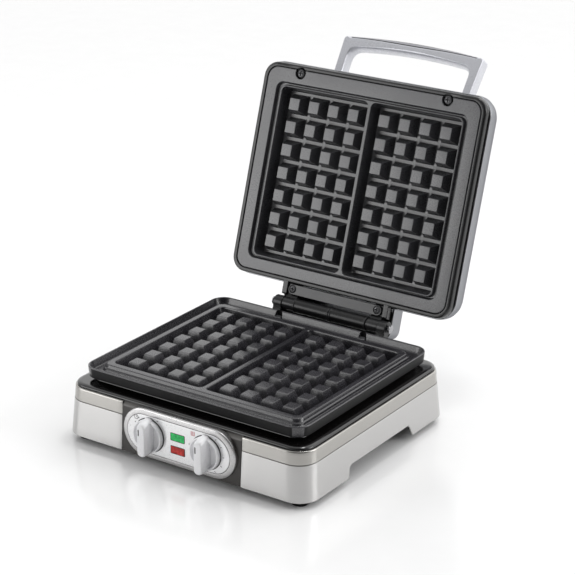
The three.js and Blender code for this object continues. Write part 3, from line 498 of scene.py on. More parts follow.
# lower plate -------------------------------------------------------
S = Solid()
Y0, Y1 = -105.0, 106.5
full = [  # hx, y0, y1, r, z
    (106.5, -91.5, 92.5, 8, -15.5),
    (106.5, -91.5, 92.5, 8, -8.2),
    (117.6, Y0 + 2.4, Y1 - 2.4, 12, -8.4),
    (118.2, Y0 + 1.8, Y1 - 1.8, 12.5, -9.7),
    (118.9, Y0 + 1.1, Y1 - 1.1, 13, -9.7),
    (119.9, Y0 + 0.1, Y1 - 0.1, 14, -0.6),
    (119.75, Y0 + 0.25, Y1 - 0.25, 13.8, -0.05),
    (119.3, Y0 + 0.7, Y1 - 0.7, 13.4, 0.33),
    (118.7, Y0 + 1.3, Y1 - 1.3, 12.9, 0.36),
    (118.2, Y0 + 1.8, Y1 - 1.8, 12.5, 0.1),
    (117.8, Y0 + 2.2, Y1 - 2.2, 12.1, -0.6),
    (116.0, Y0 + 4.0, Y1 - 4.0, 10.4, -5.2),
    (115.2, Y0 + 4.8, Y1 - 4.8, 9.6, -5.85),
    (114.4, Y0 + 5.6, Y1 - 5.6, 8.8, -6.0),
    (109.9, -93.3, 93.9, 8.4, -6.0),
    (109.2, -92.5, 93.1, 8.1, -5.7),
    (108.7, -91.9, 92.5, 8.0, -4.2),
    (108.45, -91.6, 92.2, 7.9, -3.6),
    (107.75, -90.8, 91.3, 7.6, -3.3),
    (107.5, -90.4, 90.9, 7.5, -2.7),
    (106.75, -89.4, 89.7, 7.2, -0.7),
    (106.4, -89.0, 89.3, 7.0, -0.2),
    (105.8, -88.4, 88.6, 6.7, 0.0),
]
prev = None
for hx, a, b, r, z in full:
    cur = S.ring(at_z(rr(-hx, hx, a, b, r, 6, True), z))
    if prev is None:
        S.cap(cur)
    else:
        S.bridge(prev, cur)
    prev = cur
wells(S, full[-1], -12.0, 0.0, (3.0, 4.2, 3.4), 2.6, 1)
cuts = []
for x in (-47.8, 47.8):
    C = Solid()
    lathe(C, [(4.55, -5.9), (4.55, 3.0)], (x, 101.3, 0), "z", 28)
    cuts.append(cutter(C, BASE))
o = build("waffle_plate_lower", S, BASE, "base", M_LOWER, bevel=0.3, seg=2, angle=50, replaces=["lower_plate"], carve=cuts)
drop(cuts)
o.data.materials.append(M_RIM)
wall = (BASE @ Vector((0, 0, -0.8))).z
for q in o.data.polygons:
    c, nn = q.center, q.normal
    if c.z < wall and (abs(c.x) > 0.1180 or c.y < (BASE @ Vector((0, -104, 0))).y or c.y > (BASE @ Vector((0, 105, 0))).y) and abs(nn.z) < 0.5:
        q.material_index = 1

# upper plate (drawn closed, face down) -----------------------------
S = Solid()
full = [
    (109.5, -90.5, 90, 9, 19.4),
    (109.5, -90.5, 90, 9, 4.0),
    (118.5, -101, 98, 11, 4.0),
    (118.5, -101, 98, 11, 2.0),
    (118.3, -100.8, 97.8, 10.8, 1.6),
    (117.8, -100.3, 97.3, 10.4, 1.42),
    (107.3, -87.9, 87.3, 7.9, 1.42),
    (106.9, -87.5, 86.9, 7.7, 1.7),
    (106.1, -86.7, 86.1, 7.2, 5.1),
    (105.7, -86.3, 85.7, 7.0, 5.55),
    (103.5, -85.25, 85.25, 6.8, 5.6),
    (103.1, -84.95, 84.95, 6.5, 5.2),
    (102.65, -84.5, 84.5, 6.2, 2.75),
    (102.4, -84.3, 84.3, 6.1, 2.4),
    (102.0, -84.0, 84.0, 5.9, 2.3),
]
prev = None
for hx, a, b, r, z in full:
    cur = S.ring(at_z(rr(-hx, hx, a, b, r, 6, True), z))
    if prev is None:
        S.cap(cur)
    else:
        S.bridge(prev, cur)
    prev = cur
wells(S, full[-1], 16.0, 4.0, (3.2, 3.5, 3.2), 2.6, -1)
cuts = []
for x in (-82, 82):
    C = Solid()
    lathe(C, [(6.0, -1.0), (6.0, 5.0)], (x, -98, 0), "z", 32)
    cuts.append(cutter(C, LID))
build("waffle_plate_upper", S, LID, "lid", M_UPPER_PAINTED_LIGHTER, bevel=0.3, seg=2, angle=50, replaces=["upper_plate"], carve=cuts)
drop(cuts)

# ------------------------------------------------------------------ base: deck, covers, housing
S = Solid()
rings = []
for hx, hy, r, z in ((127.2, 112.2, 16, -17), (127.9, 112.9, 16.4, -16.8), (128, 113, 16.5, -16.2), (127.8, 112.8, 16.4, -15.5), (127.2, 112.2, 16.0, -14.9), (126.2, 111.2, 15.2, -14.4), (125.0, 110.0, 14.2, -14.1), (123.8, 108.8, 13.2, -14.0)):
    rings.append(at_z(rr(-hx, hx, -hy, hy, r, 10), z))
for x, a, b, r, z in ((114.4, -98.9, 99.9, 10.6, -14.0), (113.8, -98.3, 99.3, 10.2, -13.7), (113.5, -98, 99, 10, -13.0), (113.5, -98, 99, 10, -10.9), (113.1, -97.6, 98.6, 9.7, -10.35), (109.2, -94, 95, 9, -10.35), (109.2, -94, 95, 9, -17)):
    rings.append(at_z(rr(-x, x, a, b, r, 10), z))
S.loft(rings, loop=True)
build("deck_ring", S, BASE, "base", M_DECK, replaces=["base_deck"])

TOPC, BOTC, CR = (-17.3, 130.0, 114.8), (-64.0, 133.4, 118.2), 20.0
PANEL = 65.4


def skin_at(z, inset=0.0):
    t = (z - TOPC[0]) / (BOTC[0] - TOPC[0])
    return TOPC[1] + (BOTC[1] - TOPC[1]) * t - inset, TOPC[2] + (BOTC[2] - TOPC[2]) * t - inset, CR - inset


ARCH = [(-51.2, -64.0), (-50.6, -61.0), (-49.8, -56.6), (-48.6, -54.2), (-46.4, -52.8), (-44.0, -52.5), (47.5, -52.5), (49.6, -53.0), (51.0, -54.6), (55.9, -64.0)]


def arch_z(y):
    if y <= ARCH[0][0] or y >= ARCH[-1][0]:
        return -64.0
    for (ya, za), (yb, zb) in zip(ARCH, ARCH[1:]):
        if ya <= y <= yb:
            return za + (zb - za) * (y - ya) / (yb - ya)
    return -64.0


def cover(side):
    cols = [("f", t / 6) for t in range(7)]
    cols += [("c0", a * 90 / 16) for a in range(1, 16)]
    ys = sorted({-98, -80, -65, -54, -34, -20, 0, 20, 34, 60, 70, 84, 98} | {y for y, _ in ARCH})
    cols += [("s", None)] + [("y", y) for y in ys if -96 < y < 96] + [("e", None)]
    cols += [("c1", a * 90 / 16) for a in range(1, 16)]
    cols += [("b", t / 6) for t in range(7)]
    S = Solid()

    def point(col, z, inset):
        hx, hy, r = skin_at(z)
        hx, hy, r = hx - inset, hy - inset, r - inset
        k, v = col
        if k == "f":
            p = (PANEL + 0.15 + (hx - r - PANEL - 0.15) * v, -hy)
        elif k == "c0":
            a = math.radians(-90 + v)
            p = (hx - r + r * math.cos(a), -hy + r + r * math.sin(a))
        elif k == "s":
            p = (hx, -hy + r)
        elif k == "y":
            p = (hx, v)
        elif k == "e":
            p = (hx, hy - r)
        elif k == "c1":
            a = math.radians(v)
            p = (hx - r + r * math.cos(a), hy - r + r * math.sin(a))
        else:
            p = (hx - r + (PANEL + 0.15 - hx + r) * v, hy)
        return (side * p[0], p[1], z)

    rows = []
    for col in cols:
        zb = arch_z(col[1]) if col[0] == "y" else -64.0
        column = [(zb, 2.6), (zb, 0.9), (zb + 0.25, 0.3), (zb + 0.8, 0.0)]
        for f in (0.25, 0.5, 0.75):
            column.append((zb + 0.8 + (-30.7 - zb - 0.8) * f, 0.0))
        column += [(-30.35, 0.0), (-30.1, 0.12), (-30.02, 0.9), (-29.62, 0.9), (-29.54, 0.3), (-29.3, 0.18), (-25, 0.12), (-21, 0.0), (-18.6, 0.0), (-17.9, 0.15), (-17.45, 0.55), (-17.3, 1.2), (-17.3, 2.7)]
        rows.append(S.ring([point(col, z, i) for z, i in column]))
    for a, b in zip(rows, rows[1:]):
        S.bridge(a, b, closed=False)
    name = "right" if side > 0 else "left"
    o = build("cover_" + name, S, BASE, "base", M_COVER, solidify=1.2, replaces=["side_cover_" + name])
    # the upper band above the seam takes a darker copy of the brushed metal: painted shade of that band
    o.data.materials.append(M_BAND_SHADED)
    o.data.materials.append(M_SEAM)
    top, low = (BASE @ Vector((0, 0, -29.5))).z, (BASE @ Vector((0, 0, -30.12))).z
    for q in o.data.polygons:
        c = q.center.z
        q.material_index = 1 if c > top else 2 if c > low else 0
    return o


cover(1)
cover(-1)

# housing: front and rear centre panels, inner liner, rear box
S = Solid()
for sy in (-1, 1):
    rings = []
    hxp = PANEL - 0.45
    for x, ins in ((-hxp, 0.6), (-hxp + 0.2, 0.2), (-hxp + 0.7, 0.0), (hxp - 0.7, 0.0), (hxp - 0.2, 0.2), (hxp, 0.6)):
        prof = []
        for z, i in ((-63.6, 2.8), (-63.6, 0.8), (-63.4, 0.3), (-62.8, 0.0), (-50, 0.0), (-40, 0.0), (-30, 0.0), (-22.2, 0.0), (-21.2, 0.2), (-20.2, 0.6), (-19.2, 1.2), (-18.2, 2.0), (-17.5, 2.7), (-17.3, 3.4)):
            _, hy, _ = skin_at(z)
            prof.append((x, sy * (hy - max(i, ins if i < 1 else i)), z))
        rings.append(prof)
    S.loft(rings)
rings = []
for ins, z in ((2.3, -50), (2.3, -17.4), (4.8, -17.4), (4.8, -50)):
    hx, hy, r = skin_at(z, ins)
    rings.append(at_z(rr(-hx, hx, -hy, hy, r, 8), z))
S.loft(rings, loop=True)
rings = []
for ins, z in ((1.4, -60), (0.4, -59.6), (0, -58.6), (0, -19.2), (0.4, -18.1), (1.4, -17.7)):
    rings.append(at_z(rr(-64 + ins, 64 - ins, 112.8, 127.5 - ins, (4, 4, 1, 1), 6), z))
S.loft(rings)
o = build("housing", S, BASE, "base", M_PANEL, replaces=["base_housing"])
# upward-facing faces along the panels' top edge take a lighter copy of the panel plastic: painted highlight on the
# rounded shoulder
o.data.materials.append(M_PANEL_SHOULDER_HIGHLIGHT)
low = (BASE @ Vector((0, 0, -21.7))).z
for q in o.data.polygons:
    if q.center.z > low and q.normal.z > 0.2:
        q.material_index = 1


# ------------------------------------------------------------------ controls
def stadium(hx, r, z, n=24):
    pts = []
    for i in range(n + 1):
        a = -math.pi / 2 + math.pi * i / n
        pts.append((hx - r + r * math.cos(a), z + r * math.sin(a)))
    for i in range(n + 1):
        a = math.pi / 2 + math.pi * i / n
        pts.append((-hx + r + r * math.cos(a), z + r * math.sin(a)))
    return pts


BZ, BHX, BR = -38.9, 61.3, 23.3
S = Solid()
rings = []
for ins, y in ((1.0, -113.6), (0.2, -113.8), (0.0, -114.6), (0.0, -118.2), (0.12, -118.9), (0.45, -119.4), (1.0, -119.75), (2.4, -120.05), (4.9, -120.35), (5.0, -119.95), (5.35, -119.95), (5.45, -120.45), (5.8, -120.6), (6.4, -120.6)):
    rings.append([(x, y, z) for x, z in stadium(BHX - ins, BR - ins, BZ)])
S.loft(rings)
o = build("control_panel", S, BASE, "base", M_BEZEL, replaces=["control_bezel"])
# the sloping border outside the groove takes a darker, more metallic copy of the bezel silver: painted shade that tones
# down its highlight
o.data.materials.append(M_BORDER_SHADED)
for q in o.data.polygons:
    if len(q.vertices) == 4 and max((BASE.inverted() @ o.data.vertices[i].co).y for i in q.vertices) > -120.3:
        q.material_index = 1
# a dark strip laid in the bezel's groove: painted shade of the groove
S = Solid()
S.loft([[(x, y, z) for x, z in stadium(BHX - ins, BR - ins, BZ)] for ins, y in ((5.02, -119.85), (5.02, -120.3), (5.33, -120.3), (5.33, -119.85))], loop=True)
build("control_groove", S, BASE, "base", M_PRINT_AND_GROOVE_SHADE)


def knob(name, x, body, replaces):
    S = Solid()
    lathe(S, [(14.9, -121.0), (15.4, -121.4), (15.4, -124.4), (15.25, -125.0), (14.85, -125.35), (14.4, -125.4), (14.0, -125.25), (13.8, -124.9), (13.5, -124.2), (13.0, -122.6), (12.4, -122.0), (11.3, -121.8), (4.0, -121.7), (0.0, -121.7)], (x, 0, KNOB_Z), "y", 56, cap1=False)
    rings = []
    for y, hx, hz, r in ((-121.2, 5.3, 16.9, 4.6), (-122.2, 4.9, 17.0, 4.4), (-124.4, 4.75, 17.0, 4.2), (-128.5, 4.55, 16.8, 4.0), (-131.8, 4.35, 16.6, 3.8), (-132.9, 4.2, 16.4, 3.7), (-133.55, 3.85, 16.0, 3.4), (-133.95, 3.2, 15.3, 2.9)):
        rings.append([(px, y, pz) for px, pz in rr(x - hx, x + hx, KNOB_Z - hz, KNOB_Z + hz - max(0, (-y - 126) * 0.28), r, 5)])
    S.loft(rings)
    o = build(name, S, BASE, body, M_KNOB, replaces=replaces)
    T = Solid()
    rings = []
    for y, g in ((-133.6, 0.0), (-133.98, 0.0), (-134.0, 0.08)):
        rings.append([(px, y, pz) for px, pz in rr(x - 2.6 + g, x - 1.4 - g, KNOB_Z + 3.6 + g, KNOB_Z + 9.8 - g, 0.5, 3)])
    T.loft(rings)
    build(name + "_index", T, BASE, body, M_SLOT)
    # a dark ring laid on the bezel round each dial: the gap under the dial's edge with its painted shadow
    G = Solid()
    lathe(G, [(15.3, -120.3), (16.15, -120.3), (16.15, -120.66), (16.05, -120.7), (15.3, -120.7)], (x, 0, KNOB_Z), "y", 56, cap0=False, cap1=False)
    G.bridge(list(range(len(G.v) - 56, len(G.v))), list(range(56)))
    build(name + "_gap_shadow", G, BASE, "base", M_SLOT)
    return o


knob("timer_dial", TIMER_X, "timer", ["timer_knob"])
knob("thermostat_dial", THERMO_X, "thermostat", ["thermostat_knob"])

for nm, z, mat, sl, node in (("ready_lens", -33.6, M_GREEN, "lens_green", "ready_lens_green"), ("power_lens", -46.0, M_RED, "lens_red", "power_lens_red")):
    S = Solid()
    rings = []
    for ins, y in ((0, -117.6), (0, -120.75), (0.15, -120.95), (0.5, -121.0)):
        rings.append([(px, y, pz) for px, pz in rr(-7.3 + ins, 7.3 - ins, z - 3.3 + ins, z + 3.3 - ins, 0.7, 3)])
    S.loft(rings)
    build(nm, S, BASE, "base", mat, replaces=[node])
    T = Solid()
    rings = []
    for ins, y in ((0, -120.4), (0, -120.66), (0.1, -120.7), (0.55, -120.7), (0.55, -120.4)):
        rings.append([(px, y, pz) for px, pz in rr(-7.9 + ins, 7.9 - ins, z - 3.9 + ins, z + 3.9 - ins, 0.9, 3)])
    T.loft(rings, loop=True)
    build(nm + "_surround", T, BASE, "base", M_SLOT)

# generic printed marks round the dials: ticks, dots, a clock face and a small red symbol
FACE = -120.66


def dab(S, x0, x1, z0, z1):
    S.box(x0, x1, FACE - 0.04, FACE + 0.1, z0, z1)


def tick(S, cx, cz, ang, r0, r1, w):
    a = math.radians(ang)
    d, n = (math.sin(a), math.cos(a)), (math.cos(a), -math.sin(a))
    p = [(cx + d[0] * r + n[0] * s * w / 2, cz + d[1] * r + n[1] * s * w / 2) for r, s in ((r0, -1), (r0, 1), (r1, 1), (r1, -1))]
    S.loft([[(x, FACE + 0.1, z) for x, z in p], [(x, FACE - 0.04, z) for x, z in p]])


S = Solid()
for ang in (-90,):
    tick(S, THERMO_X - 0.5, KNOB_Z + 3.2, ang, 17.6, 18.2, 2.2)
for ang in (35, 60, 90, 120, 150):
    tick(S, THERMO_X, KNOB_Z, ang, 17.6, 19.2, 0.5)
for ang in (-60, -40, 30):
    tick(S, TIMER_X, KNOB_Z, ang, 17.6, 18.5, 0.9)
cx, cz, ro, ri = TIMER_X - 14.5, KNOB_Z + 14.2, 2.3, 1.85
n = 20
S.loft([[(cx + r * math.cos(2 * math.pi * i / n), y, cz + r * math.sin(2 * math.pi * i / n)) for i in range(n)] for r, y in ((ro, FACE + 0.1), (ro, FACE - 0.04), (ri, FACE - 0.04), (ri, FACE + 0.1))], loop=True)
dab(S, cx - 0.2, cx + 0.2, cz, cz + 1.5)
dab(S, cx, cx + 1.1, cz - 0.2, cz + 0.2)
build("dial_print", S, BASE, "base", M_PRINT_AND_GROOVE_SHADE)
S = Solid()
cx, cz = THERMO_X - 14.0, KNOB_Z + 14.6
for i in range(3):
    dab(S, cx - 2.2 + i * 1.6, cx - 1.5 + i * 1.6, cz - 1.6, cz + 1.6)
dab(S, cx - 2.4, cx + 2.0, cz - 2.3, cz - 1.8)
build("heat_print", S, BASE, "base", M_PRINT_RED)

# ------------------------------------------------------------------ feet, gland
for nm, sx, sy in (("front_left", -1, -1), ("front_right", 1, -1), ("rear_left", -1, 1), ("rear_right", 1, 1)):
    S = Solid()
    lathe(S, [(0.0, -59.3), (2.7, -59.3), (2.7, -64.0), (8.0, -64.0), (8.35, -64.4), (8.3, -67.5), (8.0, -69.2), (7.4, -69.85), (6.6, -70.0), (3.2, -70.0), (2.8, -69.4), (0.0, -69.4)], (sx * 117, sy * 102.5, 0), "z", 32, cap0=False, cap1=False)
    build("foot_pad_" + nm, S, BASE, "base", M_RUBBER, replaces=["foot_" + nm])
S = Solid()
lathe(S, [(3.4, 120.8), (7.6, 120.8), (7.8, 121.4), (7.8, 124.2), (5.9, 124.6), (5.9, 127.7), (7.9, 127.8), (8.2, 128.3), (8.2, 129.5), (7.8, 130.1), (5.9, 130.3), (5.7, 130.9), (4.2, 131.0), (3.5, 130.6), (3.4, 130.0)], (-40, 0, -44), "y", 36, cap0=False, cap1=False)
a = [i for i in range(36)]
S.bridge([len(S.v) - 36 + i for i in a], a)
build("cord_outlet", S, BASE, "base", M_BLACK, replaces=["cord_gland"])

# ------------------------------------------------------------------ hinge on the base
for nm, a, b in (("left", -63.6, -54.3), ("right", 54.3, 63.6)):
    S = Solid()
    outline = [(HINGE_Y - 14.6, -13.6), (HINGE_Y + 0.9, -13.6), (HINGE_Y + 0.9, HINGE_Z - 6.7)]
    for i in range(15):
        t = math.radians(-76 + (256) * i / 14)
        outline.append((HINGE_Y + 6.8 * math.cos(t), HINGE_Z + 6.8 * math.sin(t)))
    outline += [(HINGE_Y - 7.1, -2.4), (HINGE_Y - 9.4, -6.4), (HINGE_Y - 12.2, -9.4), (HINGE_Y - 14.6, -10.1)]
    prism(S, outline, a, b, "x")
    build("hinge_lug_cast_" + nm, S, BASE, "base", M_HINGE, bevel=0.6, seg=2, angle=40, replaces=["hinge_lug_" + nm])
for nm, a, b in (("left", -41.3, -0.2), ("right", 0.2, 41.3)):
    S = Solid()
    lathe(S, [(2.9, a), (6.9, a), (7.25, a + 0.35), (7.25, a + 1.5), (6.95, a + 1.9), (6.85, a + 2.6), (6.85, b - 2.6), (6.95, b - 1.9), (7.25, b - 1.5), (7.25, b - 0.35), (6.9, b), (2.9, b)], (0, HINGE_Y, HINGE_Z), "x", 40, cap0=False, cap1=False)
    S.bridge(list(range(len(S.v) - 40, len(S.v))), list(range(40)))
    build("hinge_tube_" + nm, S, BASE, "base", M_HINGE, replaces=["hinge_sleeve_" + nm])
S = Solid()
lathe(S, [(0.0, -67.4), (2.6, -67.4), (3.8, -67.0), (4.2, -66.3), (4.2, -65.5), (2.5, -65.4), (2.5, 65.4), (4.2, 65.5), (4.2, 66.3), (3.8, 67.0), (2.6, 67.4), (0.0, 67.4)], (0, HINGE_Y, HINGE_Z), "x", 28, cap0=False, cap1=False)
build("hinge_rod", S, BASE, "base", M_STEEL, replaces=["hinge_pin"])

# ------------------------------------------------------------------ lid: frame, shell, handle
S = Solid()
rings = []
for hx, y0, y1, r, z in (
    (119.7, -102.2, 99.2, 12.0, 1.3), (121.6, -103.9, 101.2, 13.2, 1.3), (122.6, -104.7, 101.9, 14.0, 1.6), (123.4, -105.3, 102.4, 14.6, 2.3), (123.8, -105.6, 102.6, 15, 3.2),
    (124.1, -105.8, 102.6, 15, 5.4), (124.2, -105.9, 102.6, 15, 8.7), (110.2, -91.2, 90.7, 9.5, 8.7), (110.2, -91.2, 90.7, 9.5, 4.4), (119.2, -101.7, 98.7, 11.5, 4.4), (119.2, -101.7, 98.7, 11.5, 1.8), (119.35, -101.85, 98.85, 11.6, 1.45)):
    rings.append(at_z(rr(-hx, hx, y0, y1, r, 8), z))
S.loft(rings, loop=True)
cuts = []
for x in (-82, 82):
    C = Solid()
    lathe(C, [(5.7, -1.0), (5.7, 4.2)], (x, -98.4, 0), "z", 32)
    cuts.append(cutter(C, LID))
CHEEK = [(101, 1.3), (113.2, 1.3), (114.4, 2.2), (115.6, 8.6), (117, 9.7), (126.6, 9.7), (128.2, 10.6), (128.6, 12.4), (128.6, 19), (127.2, 22.4), (124.2, 24), (108, 24), (108, 8.7), (101, 8.7)]
build("lid_rim", S, LID, "lid", M_FRAME, replaces=["lid_frame"], carve=cuts)
drop(cuts)
for nm, a, b in (("left", -60, -54.4), ("right", 54.4, 60)):
    S = Solid()
    prism(S, CHEEK, a, b, "x")
    build("hood_cheek_" + nm, S, LID, "lid", M_FRAME, bevel=0.5, seg=2, angle=30)

SH = dict(z0=9.0, hx=125.4, y0=-107.0, y1=104.2, r=19.0, top=44.0, shoulder=33.0)
HOOD_HX, HOOD_Y, HOOD_TOP = 62.4, 136.0, 33.0


def lv(inset, z, seg=12):
    r = max(SH["r"] - inset * 0.35, 6)
    return at_z(rr(-SH["hx"] + inset, SH["hx"] - inset, SH["y0"] + inset, SH["y1"] - inset, r, seg), z)


S = Solid()
R, top = SH["shoulder"], SH["top"]
rings = [lv(1.5, SH["z0"]), lv(0.45, SH["z0"] + 0.02), lv(0.1, SH["z0"] + 0.3), lv(0, SH["z0"] + 0.8), lv(0, top - R + 4)]
for i in range(1, 11):
    q = math.radians(9 * i)
    rings.append(lv((R - 3) * (1 - math.cos(q)), top - R + 4 + (R - 4) * math.sin(q)))
S.loft(rings, cap0=False, cap1=True)
build("lid_cover", S, LID, "lid", M_SHELL, solidify=1.3, replaces=["lid_shell"])
S = Solid()


def hood(inset, z, r=9.0):
    return at_z(rr(-HOOD_HX + inset, HOOD_HX - inset, 90, HOOD_Y - inset, (max(r - inset, 2), max(r - inset, 2), 1, 1), 8), z)


S.loft([hood(1.5, 9.7), hood(0.4, 9.72), hood(0.08, 10.0), hood(0, 10.5), hood(0, HOOD_TOP - 9), hood(0.5, HOOD_TOP - 6.4), hood(1.6, HOOD_TOP - 3.9), hood(3.4, HOOD_TOP - 1.9), hood(5.8, HOOD_TOP - 0.55), hood(8.6, HOOD_TOP)], cap0=False, cap1=True)
build("hinge_hood", S, LID, "lid", M_SHELL, solidify=1.3)

# handle: section swept between an outer and an inner outline, drawn in its own sloping plane
SLOPE = math.atan(0.335)
HM = LID @ Matrix.Translation((0, -132.4, 61.2)) @ Matrix.Rotation(-SLOPE, 4, "X")
HW, BOW = 78.0, 3.4


def quad(p0, p1, p2, t):
    return tuple((1 - t) ** 2 * a + 2 * t * (1 - t) * b + t * t * c for a, b, c in zip(p0, p1, p2))


def lerp(p, q, t):
    return tuple(a + (b - a) * t for a, b in zip(p, q))


outer, inner = [], []
for i in range(8):
    outer.append(lerp((-75.5, 62), (-HW - 0.3, -7.6), i / 8))
    inner.append(lerp((-66, 62), (-67.6, 12.5), i / 8))
for i in range(9):
    outer.append(quad((-HW - 0.3, -7.6), (-HW - 0.3, -10.2), (-HW + 2.4, -10.5), i / 8))
    inner.append(quad((-67.6, 12.5), (-67.4, 1.4), (-56, 0.6), i / 8))
for i in range(1, 24):
    outer.append(quad((-HW + 2.4, -10.5), (0, -10.5 - 2 * BOW), (HW - 2.4, -10.5), i / 24))
    inner.append(quad((-56, 0.6), (0, 0.6 - BOW * 1.6), (56, 0.6), i / 24))
k = len(outer)
for i in range(16, -1, -1):
    outer.append((-outer[i][0], outer[i][1]))
    inner.append((-inner[i][0], inner[i][1]))
S = Solid()
rings = []
N = len(outer)
for i in range(N):
    o_, i_ = Vector(outer[i]), Vector(inner[i])
    w = (o_ - i_).length
    d = (o_ - i_) / w
    grip = 16 <= i <= N - 17
    y_arm = min(outer[i][1], 62)
    fade = max(0.0, min(1.0, (y_arm - 34) / 28.0))      # the arms sink into the shell at their ends
    back = 12.4 - 8.6 * fade
    edge = 4.4 if grip else 1.2
    drop_ = 2.0 if grip else 1.2
    sec = [(0.0, 4.6 - 1.2 * fade), (0.15, 3.2 - 0.6 * fade), (0.6, 1.7), (1.3, 0.4), (2.1, -0.4), (2.9, -0.85), (3.5, -1.0),
           (w - edge - 0.8, -1.0), (w - edge, -0.8), (w - edge + 0.5, -0.3), (w - 0.35, drop_ - 1.0), (w, drop_),
           (w, back - 2.2), (w - 0.6, back - 0.8), (w - 2.0, back), (2.4, back), (0.8, back - 0.8), (0.0, back - 2.4)]
    rings.append([((i_ + d * u).x, (i_ + d * u).y, t) for u, t in sec])
S.loft(rings)
build("handle_bow", S, HM, "lid", M_HANDLE, replaces=["handle_frame"])

GRIP_EDGE = (True, True, True, False, True, True, True, False)
# grip strip: lens-shaped hatched inlay on the sloping front edge of the grip
S = Solid()
rings = []
M_ = 40
for i in range(M_ + 1):
    t = i / M_
    x = -72.5 + 145 * t
    s = (x + HW - 2.4) / (2 * (HW - 2.4))
    o_ = Vector(quad((-HW + 2.4, -10.5), (0, -10.5 - 2 * BOW), (HW - 2.4, -10.5), s))
    i_ = Vector(quad((-56, 0.6), (0, 0.6 - BOW * 1.6), (56, 0.6), s))
    w = (o_ - i_).length
    d = (o_ - i_) / w
    half = 0.75 + 1.1 * math.sin(math.pi * t) ** 0.7
    ca, sa = 0.939, 0.344                          # along the sloping edge: outward and deeper
    mu, mt = w - 2.12, 0.35
    pts = []
    e = min(0.55, half * 0.4)
    for u, h in ((-half, -0.5), (-half, 0.22), (-half + e, 0.24), (-half + e + 0.08, 0.5), (half - e - 0.08, 0.5), (half - e, 0.24), (half, 0.22), (half, -0.5)):
        uu, tt = mu + ca * u + sa * h, mt + sa * u - ca * h
        uu = min(uu, w - 0.02)
        p = i_ + d * uu
        pts.append((p.x, p.y, tt))
    rings.append(pts)
S.loft(rings)
o = build("grip_inlay", S, HM, "lid", M_STRIP, replaces=["handle_grip_strip"])
o.data.materials.append(M_EDGE)
for k, q in enumerate([q for q in o.data.polygons if len(q.vertices) == 4]):
    if GRIP_EDGE[k % 8]:
        q.material_index = 1


# ------------------------------------------------------------------ hinge on the lid, screws
S = Solid()
out = []
for i in range(9):
    a = math.radians(-76 + 152 * i / 8)
    out.append((48 + 4.9 * math.cos(a), 108.2 + 4.9 * math.sin(a)))
for i in range(9):
    a = math.radians(104 + 152 * i / 8)
    out.append((-48 + 4.9 * math.cos(a), 108.2 + 4.9 * math.sin(a)))
prism(S, out, 1.3, 3.3, "z")
cuts = []
for x in (-48, 48):
    C = Solid()
    lathe(C, [(3.9, 0.0), (3.9, 4.0)], (x, 107.9, 0), "z", 28)
    cuts.append(cutter(C, LID))
build("hinge_strip", S, LID, "lid", M_ARMSTRIP, bevel=0.4, seg=2, angle=40, replaces=["hinge_cover_strip"], carve=cuts)
drop(cuts)
for nm, a, b in (("left", -54, -41.8), ("right", 41.8, 54)):
    S = Solid()
    outline = [(91.6, 14.4), (91.6, 9.1), (103.4, 9.1), (103.4, 3.7), (112.4, 3.7), (113.6, 3.3), (HINGE_Y - 6.2, HINGE_Z)]
    for i in range(1, 15):
        t = math.radians(180 + 315 * i / 14)
        outline.append((HINGE_Y + 6.2 * math.cos(t), HINGE_Z + 6.2 * math.sin(t)))
    outline += [(HINGE_Y + 2.2, 8.6), (117.6, 12.6), (114.6, 14.4)]
    prism(S, outline, a, b, "x")
    build("lid_arm_" + nm, S, LID, "lid", M_HINGE, bevel=0.5, seg=2, angle=40, replaces=["hinge_arm_" + nm])


def screw(name, x, y, z_head, z_end, r, rs, M, body, mat, down, replaces):
    """Pan head with a cross recess; down = -1 for heads that face -Z, +1 for heads that face +Z."""
    S = Solid()
    h = 2.3
    z = lambda t: z_head + (-down) * t
    lathe(S, [(0.0, z(0.0)), (r * 0.45, z(0.03)), (r * 0.75, z(0.18)), (r * 0.93, z(0.5)), (r, z(0.95)), (r, z(h - 0.2)), (r * 0.94, z(h)), (rs, z(h + 0.02)), (rs, z_end), (0.0, z_end)], (x, y, 0), "z", 32, cap0=False, cap1=False)
    C1, C2 = Solid(), Solid()
    lo, hi = sorted((z(-0.5), z(1.25)))
    w, l = r * 0.13, r * 0.62
    C1.box(x - w, x + w, y - l, y + l, lo, hi)
    C2.box(x - l, x + l, y - w, y + w, lo, hi)
    cs = [cutter(C1, M), cutter(C2, M)]
    o = build(name, S, M, body, mat, replaces=replaces, carve=cs)
    drop(cs)
    return o


for nm, x in (("left", -1), ("right", 1)):
    screw("plate_screw_front_" + nm, x * 82, -98, 1.5, 10.4, 3.9, 2.1, LID, "lid", M_DARKSCREW, -1, ["upper_plate_screw_" + nm])
    screw("arm_screw_" + nm, x * 48, 107.9, 0.95, 9.8, 3.6, 2.1, LID, "lid", M_DARKSCREW, -1, ["hinge_screw_" + nm])
    screw("plate_screw_rear_" + nm, x * 47.8, 101.3, -3.8, -13.4, 3.8, 2.0, BASE, "base", M_DARKSCREW, 1, ["lower_plate_screw_" + nm])
for nm, sx, sy in (("front_left", -1, -1), ("front_right", 1, -1), ("rear_left", -1, 1), ("rear_right", 1, 1)):
    screw("base_screw_" + nm, sx * 92, sy * 102, -55, -42.2, 3.6, 1.8, BASE, "base", M_STEEL, -1, ["case_screw_" + nm])

